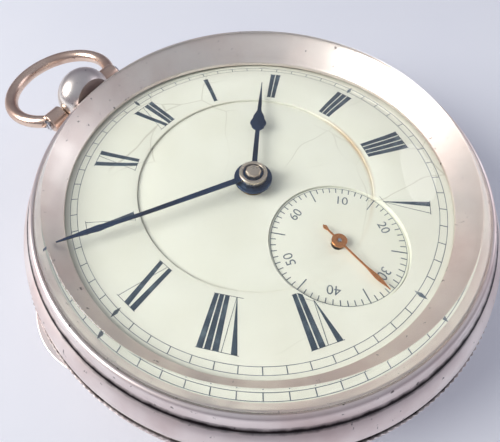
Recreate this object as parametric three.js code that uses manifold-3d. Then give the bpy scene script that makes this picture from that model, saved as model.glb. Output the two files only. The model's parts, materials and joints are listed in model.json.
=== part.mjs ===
// Open-face pocket watch with a key-wound three-quarter-plate lever movement.
// Millimetres, +Z up out of the dial, +Y towards the pendant, +X towards the case hinges.
// The origin is the centre of the small flat on the back cover, on the dial's axis.
// Groups below: case, pendant and bow, dial and hands, plates, going train, escapement, balance.
import * as THREE from 'three';
import { mergeVertices } from 'three/addons/utils/BufferGeometryUtils.js';
import Module from 'manifold-3d';

const wasm = await Module();
wasm.setup();

// ---------------------------------------------------------------- driving dimensions
const RING_SIDES = 40;            // sides of every large turned piece
const SMALL_SIDES = 12;           // sides of arbors, screws and posts
const BORE_SIDES = 16;            // sides of the holes that those turn in
const FIT = 0.05;                 // clearance where one piece seats on another
const RUN = 0.15;                 // clearance round a piece that turns
const THROUGH = 1;                // how far a cutter runs past the piece it cuts

// case, as radii and heights above the resting flat
const CASE_R = 26.0;              // back cover rim, the widest turned radius
const BACK_FLAT_R = 8.0;          // flat that the watch lies on
const BACK_RIM_Z = 7.5;           // lower edge of the back cover's coin-edge rim
const BACK_RIM_H = 0.9;
const BACK_WALL = 0.5;
const DOME_POWER = 2.3;           // fullness of both domes
const DOME_SHARES = [0, 0.5, 0.78, 0.93, 1];
const BAND_R = CASE_R - 0.3;      // widest radius of the case middle
const BAND_FOOT_Z = BACK_RIM_Z + BACK_RIM_H + 0.35;
const BAND_TOP_Z = BAND_FOOT_Z + 2.9;
const BAND_SHOULDER = [[BAND_R - 0.6, BAND_TOP_Z - 0.75], [BAND_R - 0.1, BAND_FOOT_Z + 0.95]];
const NECK_WALL = 0.6;            // neck that the back cover snaps round
const NECK_OUTER_R = BAND_R - 0.75;
const NECK_INNER_R = NECK_OUTER_R - NECK_WALL;
const NECK_FOOT_Z = BACK_RIM_Z + FIT;
const COVER_RIM_INNER_R = NECK_OUTER_R + RUN;
const INNER_COVER_WALL = 0.4;
const INNER_COVER_EDGE_R = NECK_INNER_R - 0.1;
const LIP_TURN = 163.5;           // thumb lip's angle, anticlockwise from +X
const LIP_REACH = 0.75;
const LIP_SPAN = 19;              // degrees of rim that the lip covers

// bezel and glass
const BEZEL_R = BAND_R - 2.25;    // crest of the bezel's rim
const BEZEL_FOOT_R = BEZEL_R + 1.0;
const BEZEL_TOP_Z = BAND_TOP_Z + 1.75;
const BEZEL_LIP_R = BEZEL_R - 2.95;  // edge of the dial left in sight
const BEZEL_NECK_R = BEZEL_R - 0.1;  // neck of the case middle that the bezel snaps round
const GLASS_SEAT_R = BEZEL_R - 0.15;
const GLASS_SEAT_Z = BAND_TOP_Z + 1.4;
const GLASS_TOP_R = BEZEL_R - 1.59;
const GLASS_TOP_Z = GLASS_SEAT_Z + 2.08;
const GLASS_THICK = 1.2;
const GLASS_EDGE_H = 0.35;
const GLASS_HOLLOW = { inner: GLASS_TOP_R - 10, outer: GLASS_TOP_R - 1.3, steps: 5 };

// hinges, on the +X side; knuckle stretches are given from the middle outwards
const BACK_AXIS = { x: CASE_R + 0.2, z: BAND_FOOT_Z - 0.17, knuckle: 0.62, pin: 0.26 };
const BEZEL_AXIS = { x: BEZEL_FOOT_R + 0.45, z: BAND_TOP_Z + 0.05, knuckle: 0.5, pin: 0.22 };
const KNUCKLE_GAP = 0.15;
const TONGUE_W = 1.2;             // width of the inner cover's hinge tongue
const BACK_KNUCKLES = { inner: [TONGUE_W / 2 + 0.1 + KNUCKLE_GAP, 2.6], outer: [2.6 + KNUCKLE_GAP, 4.4] };
const PIN_REACH = 9;              // the pins' bores are cut this far either way
const BEZEL_KNUCKLES = { inner: 2.0, outer: [2.0 + KNUCKLE_GAP, 3.8] };

// pendant and bow
const PENDANT_Y = BAND_R + 0.7;
const PENDANT_Z = BAND_TOP_Z - 0.65;
const PENDANT_R = 3.7;
const PENDANT_HALF = 3.0;         // half its length along Y
const PENDANT_NECK_R = 1.5;
const PENDANT_NECK_Z = PENDANT_Z - 1.0;
const PENDANT_NECK_DEPTH = 1.6;   // how far the neck is let into the case middle
const BOW_PIVOT = { y: PENDANT_Y + 0.5, z: PENDANT_Z - 0.55 };
const BOW_HALF_W = PENDANT_R + 3.47;
const BOW_HALF_H = 6.6;
const BOW_CENTRE = 4.6;           // ellipse centre beyond the pivot
const BOW_DROOP = -4.7;           // degrees below the plane of the case, at rest
const BOW_WIRE_R = 0.85;
const BOW_EYE_R = 1.25;
const BOW_EYE_IN = PENDANT_R + FIT;  // inner face of each eye
const BOW_EYE_OUT = BOW_EYE_IN + 2.3;
const BOW_SCREW = { head: 0.7, headH: 0.35, shank: 0.4, depth: 2.2 };

// movement levels
const PLATE_TOP = BAND_FOOT_Z + 0.15;  // dial side of the main plate
const PLATE_FOOT = PLATE_TOP - 1.2;
const LEDGE_Z = PLATE_TOP - 0.35;      // shelf of the case that the movement's flange rests on
const TOP_PLATE_TOP = PLATE_FOOT - 2.5;  // train side of the three-quarter plate
const TOP_PLATE_FOOT = TOP_PLATE_TOP - 1.0;
const WHEEL_THICK = 0.25;
const CENTRE_WHEEL_Z = PLATE_FOOT - 0.6;
const THIRD_WHEEL_Z = TOP_PLATE_TOP + 0.35;
const FOURTH_WHEEL_Z = THIRD_WHEEL_Z + 0.8;
const ESCAPE_WHEEL_Z = PLATE_FOOT - 0.65;
const BARREL_LOW = TOP_PLATE_TOP + RUN;
const BARREL_HIGH = BARREL_LOW + 1.5;
const BALANCE_Z = TOP_PLATE_TOP - 0.55;
const BALANCE_H = 0.6;
const COCK_Z = TOP_PLATE_FOOT - 0.7;
const COCK_H = 0.5;
const ROLLER_Z = ESCAPE_WHEEL_Z - 0.55;
const PALLET_COCK_Z = ESCAPE_WHEEL_Z - 1.3;
const ARBOR_LOW = TOP_PLATE_FOOT + 0.1;
const ARBOR_HIGH = PLATE_FOOT + 0.7;
const INNER_COVER_Z = COCK_Z - 1.9;    // underside of the inner cover at its middle

// dial and hands
const MOVEMENT_TURN = -7.2;       // the movement sits turned in the case, degrees
const DIAL_Z = PLATE_TOP + 1.8;
const DIAL_R = BEZEL_LIP_R + 0.4;
const DIAL_THICK = 0.9;
const CENTRE_R = 12.83;
const CENTRE_SINK = 0.25;
const SECONDS_Y = -11.08;
const SECONDS_R = 6.98;
const SECONDS_SINK = 0.5;
const SUNK_THICK = 0.5;
const ENAMEL_GAP = 0.03;          // between the ring and the two sunk plates
const TIME = { hour: 1, minute: 48.75, second: 32 };
const HOUR_HAND_Z = DIAL_Z + 0.65;
const MINUTE_HAND_Z = HOUR_HAND_Z + 0.65;
const SECONDS_HAND_Z = DIAL_Z + 0.05;
const HAND_THICK = 0.2;
const HOUR_HAND_L = 15.3;
const MINUTE_HAND_L = DIAL_R + 0.4;
const SECONDS_HAND_L = 6.6;

// plates and their fixings
const FLANGE_R = DIAL_R + 0.1;
const PLATE_R = FLANGE_R - 0.7;
const BORE_R = PLATE_R + 0.3;     // bore of the case that the movement drops into
const TOP_PLATE_R = PLATE_R - 0.9;
const PILLAR_TURNS = [22, 85, 190, 238];
const PILLAR_AT_R = TOP_PLATE_R - 2.0;
const PILLAR_R = 1.0;
const PLATE_SCREW = { head: 0.95, shank: 0.38, hole: 0.55 };
const CASE_SCREW_TURNS = [52, 262];
const CASE_SCREW_AT_R = PLATE_R - 1.05;
const CASE_SCREW = { head: 1.75, shank: 0.42, hole: 0.5 };
const SCREW_SLOT = { half: 0.1, deep: 0.12 };

// gearing
const BARREL = { teeth: 78, module: 0.2 };
const CENTRE = { pinion: 12, teeth: 80, module: 0.14 };
const THIRD = { pinion: 10, teeth: 75, module: 0.13 };
const FOURTH = { pinion: 10, teeth: 80, module: 0.11 };
const ESCAPE = { pinion: 8, teeth: 15, radius: 3.2 };
const MOTION = { cannon: 10, minute: 30, pinion: 8, hour: 32, module: 0.2 };
const BARREL_TURN = 130;          // direction of the barrel from the centre, degrees
const MINUTE_WHEEL_TURN = 35;
const ESCAPE_TURN = -18.3;        // direction of the escape wheel from the fourth wheel
const ARBOR_R = 0.35;
const PIVOT_R = 0.18;
const PIVOT_HOLE_R = PIVOT_R + 0.04;
const CANNON_BORE = ARBOR_R + FIT;
const CANNON_R = 0.58;
const HOUR_PIPE = { inner: 0.7, outer: 0.96 };
const MINUTE_POST_R = 0.33;
const HOUR_BOSS_R = 2.05;

// winding work
const RATCHET = { teeth: 30, radius: 3.1 };
const RATCHET_LOW = TOP_PLATE_FOOT - 0.35;
const RATCHET_HIGH = TOP_PLATE_FOOT - 0.1;
const WINDING_HOLE_R = 1.9;
const WINDING_SQUARE = { width: 1.1, height: 1.3 };
const BARREL_STAFF_R = 0.75;
const BARREL_PIVOT_R = 0.6;
const CLICK_SCREW = { head: 0.75, shank: 0.36 };
const CLICK_TURN = 205;           // direction of the click's screw from the barrel
const CLICK_REACH = RATCHET.radius + 2.1;
const CLICK_SPRING_SPAN = 62;     // degrees

// escapement and balance
const PALLET_CLEAR = 0.18;        // the pallets stand clear of the wheel by this much
const BALANCE_R = 7.4;
const BALANCE_FROM_FOURTH = new THREE.Vector2(10.2, 5.88);
const BALANCE_ROOM_R = BALANCE_R + 0.4;
const BALANCE_SCREWS = 10;
const HAIRSPRING = { inner: 0.7, outer: 3.2, turns: 6 };
const COCK_TURN = 35;             // direction of the balance cock's foot from the balance
const COCK_HALF_W = 2.0;
const COCK_FOOT = { from: BALANCE_R + 0.3, to: BALANCE_R + 2.0 };
const COCK_SCREW_AT = (COCK_FOOT.from + COCK_FOOT.to) / 2;
const REGULATOR_L = BALANCE_R + 1.8;
const OPEN_QUARTER = [-45, 3, 52];  // directions from the balance that the plate leaves open

// ---------------------------------------------------------------- materials
const finish = (color, roughness, metalness = 1) =>
  new THREE.MeshStandardMaterial({ color, roughness, metalness });
const SILVER = finish(0xcfc4bb, 0.35);
const STEEL = finish(0x9a9da3, 0.3);
const BLUED = finish(0x24324f, 0.3);
const GILT = finish(0xc8a860, 0.4);
const BRASS = finish(0xc2a35a, 0.35);
const COPPER = finish(0xc07a55, 0.35);
const ENAMEL = finish(0xece6d4, 0.25, 0);
const RUBY = finish(0xa3203c, 0.15, 0);
const GLASS = new THREE.MeshStandardMaterial(
  { color: 0xf4f6f4, roughness: 0.05, metalness: 0, transparent: true, opacity: 0.25 });

// ---------------------------------------------------------------- shape helpers
const rad = THREE.MathUtils.degToRad;
const polar = (radius, degrees) =>
  new THREE.Vector2(radius * Math.cos(rad(degrees)), radius * Math.sin(rad(degrees)));

function toSolid(geometry) {
  const bare = geometry.clone();
  bare.deleteAttribute('normal');
  bare.deleteAttribute('uv');
  const merged = mergeVertices(bare, 1e-5);
  const corners = [];
  const index = merged.index.array;
  for (let i = 0; i < index.length; i += 3) {
    const [a, b, c] = [index[i], index[i + 1], index[i + 2]];
    if (a !== b && b !== c && c !== a) corners.push(a, b, c);
  }
  const vertProperties = new Float32Array(merged.attributes.position.array);
  const make = (list) => new wasm.Manifold(
    new wasm.Mesh({ numProp: 3, vertProperties, triVerts: new Uint32Array(list) }));
  const solid = make(corners);
  if (solid.volume() > 0) return solid;
  for (let i = 0; i < corners.length; i += 3) {
    [corners[i + 1], corners[i + 2]] = [corners[i + 2], corners[i + 1]];
  }
  return make(corners);
}

function toGeometry(solid) {
  const mesh = solid.getMesh();
  const geometry = new THREE.BufferGeometry();
  const places = new Float32Array(mesh.vertProperties);
  geometry.setAttribute('position', new THREE.BufferAttribute(places, 3));
  geometry.setIndex(new THREE.BufferAttribute(new Uint32Array(mesh.triVerts), 1));
  geometry.computeVertexNormals();
  return geometry;
}

// a closed outline of [radius, height] pairs, turned round Z
function turned(outline, sides = RING_SIDES) {
  const points = outline.map(([r, z]) => new THREE.Vector2(r, z));
  if (outline[0][0] > 0 || outline.at(-1)[0] > 0) points.push(points[0].clone());
  const geometry = new THREE.LatheGeometry(points, sides);
  geometry.rotateX(Math.PI / 2);
  return toSolid(geometry);
}

const disc = (radius, low, high, sides = SMALL_SIDES) =>
  turned([[0, low], [radius, low], [radius, high], [0, high]], sides);
const tube = (inner, outer, low, high, sides = SMALL_SIDES) =>
  turned([[inner, low], [outer, low], [outer, high], [inner, high]], sides);

function flat(shape, low, high, curveSegments = 8) {
  const geometry = new THREE.ExtrudeGeometry(
    shape, { depth: high - low, bevelEnabled: false, curveSegments });
  geometry.translate(0, 0, low);
  return toSolid(geometry);
}

function block(lowCorner, highCorner) {
  const size = new THREE.Vector3().subVectors(highCorner, lowCorner);
  const geometry = new THREE.BoxGeometry(size.x, size.y, size.z);
  const middle = new THREE.Vector3().addVectors(lowCorner, highCorner).multiplyScalar(0.5);
  geometry.translate(middle.x, middle.y, middle.z);
  return toSolid(geometry);
}
const box = (x0, x1, y0, y1, z0, z1) =>
  block(new THREE.Vector3(x0, y0, z0), new THREE.Vector3(x1, y1, z1));

// a flat straight-sided piece from [x, y] corners
const plateOf = (corners, low, high) =>
  flat(new THREE.Shape(corners.map(([x, y]) => new THREE.Vector2(x, y))), low, high);

// a cylinder along Y through the point (x, z), from y0 to y1
function rod(x, z, radius, y0, y1, sides = SMALL_SIDES) {
  const geometry = new THREE.CylinderGeometry(radius, radius, y1 - y0, sides);
  geometry.translate(x, (y0 + y1) / 2, z);
  return toSolid(geometry);
}

// a cylinder along X on the X axis, from x0 to x1
function rodX(radius, x0, x1, sides = BORE_SIDES) {
  const geometry = new THREE.CylinderGeometry(radius, radius, Math.abs(x1 - x0), sides);
  geometry.rotateZ(Math.PI / 2);
  geometry.translate((x0 + x1) / 2, 0, 0);
  return toSolid(geometry);
}

// hinge parts round an axis along Y: a knuckle, the room it swings in and the pin's bore
const knuckle = (axis, y0, y1) => rod(axis.x, axis.z, axis.knuckle, y0, y1);
const knuckleRoom = (axis, half) => rod(axis.x, axis.z, axis.knuckle + RUN, -half, half);
const pinBore = (axis) => rod(axis.x, axis.z, axis.pin + FIT, -PIN_REACH, PIN_REACH);
const hingePin = (axis, half) => rod(axis.x, axis.z, axis.pin, -half, half);
const mirrored = (stretch, side) => stretch.map((y) => y * side).sort((a, b) => a - b);

const move = (solid, at) => solid.translate([at.x, at.y, 0]);

function circleHole(shape, at, radius) {
  const hole = new THREE.Path();
  hole.absarc(at.x, at.y, radius, 0, 2 * Math.PI, true);
  shape.holes.push(hole);
  return shape;
}

const circle = (radius) => {
  const shape = new THREE.Shape();
  shape.absarc(0, 0, radius, 0, 2 * Math.PI, false);
  return shape;
};

// ---------------------------------------------------------------- gearing helpers
// toothed rim with `spokes` openings; a tooth is centred at `phase` degrees
function wheelShape({ teeth, module, phase, bore, spokes = 0, pointed = true }) {
  const pitchR = (teeth * module) / 2;
  const tip = pitchR + 0.85 * module;
  const root = pitchR - 1.05 * module;
  const step = 360 / teeth;
  const points = [];
  for (let i = 0; i < teeth; i += 1) {
    const at = phase + i * step;
    if (pointed) {
      points.push(polar(tip, at), polar(root, at + 0.5 * step));
    } else {
      points.push(polar(root, at - 0.25 * step), polar(tip, at - 0.12 * step));
      points.push(polar(tip, at + 0.12 * step), polar(root, at + 0.25 * step));
    }
  }
  const shape = new THREE.Shape(points);
  if (bore > 0) circleHole(shape, { x: 0, y: 0 }, bore);
  const hub = Math.max(bore + 0.5, 0.26 * pitchR);
  const rim = root - 0.14 * pitchR;
  const arm = 0.11 * pitchR;
  for (let i = 0; i < spokes; i += 1) {
    const from = phase + (i * 360) / spokes;
    const to = from + 360 / spokes;
    const inner = THREE.MathUtils.radToDeg(Math.asin(arm / hub));
    const outer = THREE.MathUtils.radToDeg(Math.asin(arm / rim));
    const hole = [];
    hole.push(polar(hub, from + inner), polar(hub, to - inner));
    for (let k = 4; k >= 0; k -= 1) {
      hole.push(polar(rim, from + outer + (k / 4) * (to - from - 2 * outer)));
    }
    shape.holes.push(new THREE.Path(hole));
  }
  return shape;
}

// the phase that makes a driven gear's gaps meet the driver's teeth; `toward` is the
// direction from the driver to the driven gear, in degrees
const meshPhase = (driverTeeth, driverPhase, drivenTeeth, toward) =>
  toward + 180 + ((toward - driverPhase) * driverTeeth) / drivenTeeth + 180 / drivenTeeth;
const spacing = (wheelTeeth, pinionTeeth, module) => ((wheelTeeth + pinionTeeth) * module) / 2;
const direction = (from, to) => THREE.MathUtils.radToDeg(Math.atan2(to.y - from.y, to.x - from.x));

// an arbor with its pinion's leaves cut on it and a pivot at each end
function arbor({ leaves, module, phase, leafLow, leafHigh }) {
  const body = disc(ARBOR_R, TOP_PLATE_TOP + FIT, PLATE_FOOT - FIT);
  const pivots = disc(PIVOT_R, ARBOR_LOW, ARBOR_HIGH, 8);
  const leafShape = wheelShape({ teeth: leaves, module, phase, bore: 0, pointed: false });
  return body.add(pivots).add(flat(leafShape, leafLow, leafHigh));
}

// ---------------------------------------------------------------- layout of the train
const CENTRE_AT = new THREE.Vector2(0, 0);
const FOURTH_AT = new THREE.Vector2(0, SECONDS_Y);
const BARREL_AT = polar(spacing(BARREL.teeth, CENTRE.pinion, BARREL.module), BARREL_TURN);
const centreToThird = spacing(CENTRE.teeth, THIRD.pinion, CENTRE.module);
const thirdToFourth = spacing(THIRD.teeth, FOURTH.pinion, THIRD.module);
const fourthToCentre = Math.abs(SECONDS_Y);
const thirdCosine = (centreToThird ** 2 + fourthToCentre ** 2 - thirdToFourth ** 2)
  / (2 * centreToThird * fourthToCentre);
const thirdBend = THREE.MathUtils.radToDeg(Math.acos(thirdCosine));
const THIRD_AT = polar(centreToThird, -90 - thirdBend);
const ESCAPE_AT = FOURTH_AT.clone().add(
  polar(spacing(FOURTH.teeth, ESCAPE.pinion, FOURTH.module), ESCAPE_TURN));
const BALANCE_AT = FOURTH_AT.clone().add(BALANCE_FROM_FOURTH);
const ESCAPE_TO_PALLET = ESCAPE.radius / Math.cos(rad(30));
const leverTurn = direction(ESCAPE_AT, BALANCE_AT);
const PALLET_AT = ESCAPE_AT.clone().add(polar(ESCAPE_TO_PALLET, leverTurn));
const MINUTE_WHEEL_AT = polar(spacing(MOTION.minute, MOTION.cannon, MOTION.module), MINUTE_WHEEL_TURN);
const CLICK_AT = BARREL_AT.clone().add(polar(CLICK_REACH, CLICK_TURN));
const pillarPlaces = PILLAR_TURNS.map((turn) => polar(PILLAR_AT_R, turn));
const caseScrewPlaces = CASE_SCREW_TURNS.map((turn) => polar(CASE_SCREW_AT_R, turn));

const barrelPhase = 0;
const centrePinionPhase = meshPhase(BARREL.teeth, barrelPhase, CENTRE.pinion, BARREL_TURN + 180);
const centrePhase = 0;
const thirdPinionPhase = meshPhase(
  CENTRE.teeth, centrePhase, THIRD.pinion, direction(CENTRE_AT, THIRD_AT));
const thirdPhase = 0;
const fourthPinionPhase = meshPhase(
  THIRD.teeth, thirdPhase, FOURTH.pinion, direction(THIRD_AT, FOURTH_AT));
const fourthPhase = 0;
const escapePinionPhase = meshPhase(FOURTH.teeth, fourthPhase, ESCAPE.pinion, ESCAPE_TURN);
const cannonPhase = 0;
const minuteWheelPhase = meshPhase(MOTION.cannon, cannonPhase, MOTION.minute, MINUTE_WHEEL_TURN);
const minutePinionPhase = 0;
const hourWheelPhase = meshPhase(MOTION.pinion, minutePinionPhase, MOTION.hour, MINUTE_WHEEL_TURN + 180);

// ---------------------------------------------------------------- scene graph
const watch = new THREE.Group();
const movement = new THREE.Group();
movement.rotation.z = rad(MOVEMENT_TURN);
watch.add(movement);

function add(parent, name, solid, material) {
  const mesh = new THREE.Mesh(toGeometry(solid), material);
  mesh.name = name;
  parent.add(mesh);
  return mesh;
}

// ---------------------------------------------------------------- case
// height of a dome of revolution, flat inside `flatR`, rising by `rise` at `edgeR`
const domeHeight = (r, flatR, edgeR, rise) => {
  const t = Math.min(Math.max((r - flatR) / (edgeR - flatR), 0), 1);
  return rise * (1 - (1 - t ** DOME_POWER) ** (1 / DOME_POWER));
};
function domeOutline(flatR, edgeR, low, rise) {
  return DOME_SHARES.map((share) => {
    const r = flatR + (edgeR - flatR) * share;
    return [r, low + domeHeight(r, flatR, edgeR, rise)];
  });
}

function caseBand() {
  const wallR = FLANGE_R + 0.25;              // inner wall round the movement's flange
  const channelR = wallR + 0.75;              // groove behind the bore, open to the inner cover
  const channel = { low: PLATE_FOOT + 0.2, high: DIAL_Z - 0.2 };
  const bezelNeck = { inner: BEZEL_R - 1.0, top: BAND_TOP_Z + 0.35 };
  const [upper, lower] = BAND_SHOULDER;
  let solid = turned([
    [wallR, DIAL_Z], [bezelNeck.inner, DIAL_Z], [bezelNeck.inner, bezelNeck.top],
    [BEZEL_NECK_R, bezelNeck.top], [BEZEL_NECK_R, BAND_TOP_Z], [BEZEL_FOOT_R - 0.15, BAND_TOP_Z],
    upper, lower, [BAND_R, BAND_FOOT_Z + 0.2], [BAND_R - 0.05, BAND_FOOT_Z],
    [NECK_OUTER_R, BAND_FOOT_Z], [NECK_OUTER_R, NECK_FOOT_Z], [NECK_INNER_R, NECK_FOOT_Z],
    [NECK_INNER_R, channel.high], [channelR, channel.high], [channelR, channel.low],
    [BORE_R, channel.low], [BORE_R, LEDGE_Z], [wallR, LEDGE_Z]]);
  solid = solid.subtract(knuckleRoom(BACK_AXIS, BACK_KNUCKLES.outer[0]));
  solid = solid.subtract(knuckleRoom(BEZEL_AXIS, BEZEL_KNUCKLES.outer[0]));
  // hinge knuckles of the back pair and of the bezel, each with its leaf
  for (const side of [-1, 1]) {
    const [b0, b1] = mirrored(BACK_KNUCKLES.outer, side);
    const backTop = BACK_AXIS.z + BACK_AXIS.knuckle;
    solid = solid.add(knuckle(BACK_AXIS, b0, b1));
    solid = solid.add(box(BAND_R - 1.1, BACK_AXIS.x, b0, b1, BAND_FOOT_Z + FIT, backTop));
    const [z0, z1] = mirrored(BEZEL_KNUCKLES.outer, side);
    const bezelLow = BEZEL_AXIS.z - BEZEL_AXIS.knuckle;
    solid = solid.add(knuckle(BEZEL_AXIS, z0, z1));
    solid = solid.add(box(BEZEL_FOOT_R - 0.8, BEZEL_AXIS.x, z0, z1, bezelLow, BAND_TOP_Z - FIT));
  }
  solid = solid.subtract(pinBore(BACK_AXIS)).subtract(pinBore(BEZEL_AXIS));
  // seat for the pendant's neck
  const seat = rod(0, PENDANT_NECK_Z, PENDANT_NECK_R + FIT, BAND_R - 2, BAND_R + 2);
  return solid.subtract(seat);
}

function bezelRing() {
  const neck = { inner: BEZEL_R - 1.25, outer: BEZEL_R, top: BAND_TOP_Z + 0.5 };
  const footZ = BAND_TOP_Z + 0.1;
  const ring = turned([
    [BEZEL_LIP_R, DIAL_Z + RUN], [BEZEL_LIP_R, DIAL_Z + RUN + 0.3], [BEZEL_R - 0.7, GLASS_SEAT_Z],
    [GLASS_SEAT_R, GLASS_SEAT_Z], [GLASS_SEAT_R, BEZEL_TOP_Z - 0.04], [BEZEL_R + 0.05, BEZEL_TOP_Z],
    [BEZEL_R + 0.4, BEZEL_TOP_Z - 0.3], [BEZEL_R + 0.65, BAND_TOP_Z + 0.65],
    [BEZEL_FOOT_R, BAND_TOP_Z + 0.3], [BEZEL_FOOT_R, footZ], [neck.outer, footZ],
    [neck.outer, neck.top], [neck.inner, neck.top], [neck.inner, BAND_TOP_Z - 0.1],
    [BEZEL_LIP_R + 0.8, DIAL_Z + RUN]]);
  const half = BEZEL_KNUCKLES.inner;
  const top = BEZEL_AXIS.z + BEZEL_AXIS.knuckle;
  return ring.subtract(knuckleRoom(BEZEL_AXIS, BEZEL_KNUCKLES.outer[1] + RUN))
    .add(knuckle(BEZEL_AXIS, -half, half))
    .add(box(BEZEL_FOOT_R - 0.7, BEZEL_AXIS.x, -half, half, footZ + 0.02, top))
    .subtract(pinBore(BEZEL_AXIS));
}

// a glass with a wide sloping edge above and a shallow hollow beneath
function crystalDisc() {
  const edgeR = GLASS_SEAT_R - FIT;
  const low = GLASS_SEAT_Z + FIT;
  const hollow = GLASS_TOP_Z - GLASS_THICK;
  const { inner, outer, steps } = GLASS_HOLLOW;
  const underside = [];
  for (let i = 0; i <= steps; i += 1) {
    const share = i / steps;
    const fall = share ** 2 * (3 - 2 * share);
    underside.push([inner + (outer - inner) * share, hollow + (low - hollow) * fall]);
  }
  return turned([
    [0, GLASS_TOP_Z], [0, hollow], ...underside, [edgeR, low], [edgeR, low + GLASS_EDGE_H],
    [GLASS_TOP_R, GLASS_TOP_Z]]);
}

// thumb lip: a thin crescent standing out of the back cover's rim
function thumbLip() {
  const points = [];
  const steps = 8;
  for (let i = 0; i <= steps; i += 1) {
    const share = i / steps;
    points.push(polar(
      CASE_R - 0.2 + LIP_REACH * Math.sin(Math.PI * share), LIP_TURN + LIP_SPAN * (share - 0.5)));
  }
  for (let i = steps; i >= 0; i -= 1) {
    points.push(polar(CASE_R - 0.4, LIP_TURN + LIP_SPAN * (i / steps - 0.5)));
  }
  return flat(new THREE.Shape(points), BACK_RIM_Z + 0.25, BACK_RIM_Z + BACK_RIM_H - 0.2);
}

function backCover() {
  const rimTop = BACK_RIM_Z + BACK_RIM_H;
  const outside = domeOutline(BACK_FLAT_R, CASE_R, 0, BACK_RIM_Z);
  const inside = domeOutline(
    BACK_FLAT_R, COVER_RIM_INNER_R, BACK_WALL, BACK_RIM_Z - BACK_WALL + 0.1);
  const shell = turned([
    [0, 0], ...outside, [CASE_R, rimTop], [COVER_RIM_INNER_R, rimTop],
    ...inside.reverse(), [0, BACK_WALL]]);
  let solid = shell.add(thumbLip()).subtract(knuckleRoom(BACK_AXIS, BACK_KNUCKLES.outer[1] + RUN));
  for (const side of [-1, 1]) {
    const [y0, y1] = mirrored(BACK_KNUCKLES.inner, side);
    solid = solid.add(knuckle(BACK_AXIS, y0, y1));
    solid = solid.add(box(CASE_R - 0.7, BACK_AXIS.x, y0, y1, rimTop - 0.6, rimTop - 0.02));
  }
  // slot for the inner cover's tongue
  const slot = TONGUE_W / 2 + RUN;
  solid = solid.subtract(
    box(NECK_INNER_R - 1.2, CASE_R + 2, -slot, slot, BACK_RIM_Z - 1.3, rimTop + 2.1));
  return solid.subtract(pinBore(BACK_AXIS));
}

function innerCover() {
  const low = INNER_COVER_Z;
  const rise = NECK_FOOT_Z - 0.45 - low;
  const innerR = INNER_COVER_EDGE_R - INNER_COVER_WALL;
  const outside = domeOutline(BACK_FLAT_R, INNER_COVER_EDGE_R, low, rise);
  const inside = domeOutline(BACK_FLAT_R, innerR, low + INNER_COVER_WALL, rise - 0.05);
  const flangeTop = NECK_FOOT_Z - FIT;
  const shell = turned([
    [0, low], ...outside, [INNER_COVER_EDGE_R, flangeTop], [innerR, flangeTop],
    ...inside.reverse(), [0, low + INNER_COVER_WALL]]);
  // the tongue that reaches its knuckle on the back cover's hinge
  const half = TONGUE_W / 2;
  const tongue = { top: NECK_FOOT_Z - 0.1, low: NECK_FOOT_Z - 0.55, shoulder: 0.45 };
  const [near, far] = [BACK_AXIS.x - tongue.shoulder, BACK_AXIS.x + tongue.shoulder];
  const windingAt = BARREL_AT.clone().rotateAround(CENTRE_AT, rad(MOVEMENT_TURN));
  return shell
    .add(box(INNER_COVER_EDGE_R - 0.3, BACK_AXIS.x + 0.1, -half, half, tongue.low, tongue.top))
    .add(box(near, far, -half, half, tongue.low, BACK_AXIS.z))
    .add(knuckle(BACK_AXIS, -half, half))
    .subtract(pinBore(BACK_AXIS))
    .subtract(move(disc(WINDING_HOLE_R, low - THROUGH, low + 4), windingAt));
}

add(watch, 'case_band', caseBand(), SILVER);
add(watch, 'bezel', bezelRing(), SILVER);
add(watch, 'crystal', crystalDisc(), GLASS);
add(watch, 'back_cover', backCover(), SILVER);
add(watch, 'inner_cover', innerCover(), SILVER);
add(watch, 'back_hinge_pin', hingePin(BACK_AXIS, BACK_KNUCKLES.outer[1]), STEEL);
add(watch, 'bezel_hinge_pin', hingePin(BEZEL_AXIS, BEZEL_KNUCKLES.outer[1]), STEEL);

// ---------------------------------------------------------------- pendant and bow
function pendantBall() {
  const ball = new THREE.SphereGeometry(1, 20, 12);
  ball.scale(PENDANT_R, PENDANT_HALF, PENDANT_R);
  ball.translate(0, PENDANT_Y, PENDANT_Z);
  const neck = rod(0, PENDANT_NECK_Z, PENDANT_NECK_R, BAND_R - PENDANT_NECK_DEPTH, PENDANT_Y);
  // the ball is hollowed where the case middle and the bezel swing past it
  const coverR = CASE_R + 0.3;
  const bezelR = BEZEL_FOOT_R + 0.2;
  const bandR = BAND_R + FIT;
  const [[, upperZ], [, lowerZ]] = BAND_SHOULDER;
  const roomTop = PENDANT_Z + PENDANT_R + THROUGH;
  const room = turned([
    [0, -2], [coverR, -2], [coverR, BAND_FOOT_Z], [bandR, BAND_FOOT_Z], [bandR, lowerZ],
    [bandR - 0.5, upperZ], [bezelR, BAND_TOP_Z], [bezelR, roomTop], [0, roomTop]]);
  const bore = rodX(BOW_SCREW.shank + FIT, -6, 6).translate([0, BOW_PIVOT.y, BOW_PIVOT.z]);
  return toSolid(ball).subtract(room).add(neck).subtract(bore);
}

// the bow's centreline: most of an ellipse in the drooped plane through the pivot
function bowCurve() {
  const points = [];
  const start = Math.acos((BOW_CENTRE - 0.1) / BOW_HALF_H);
  const steps = 30;
  for (let i = 0; i <= steps; i += 1) {
    const t = start + (i / steps) * 2 * (Math.PI - start);
    const along = BOW_CENTRE - BOW_HALF_H * Math.cos(t);
    points.push(new THREE.Vector3(BOW_HALF_W * Math.sin(t), along, 0));
  }
  return new THREE.CatmullRomCurve3(points);
}

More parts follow.
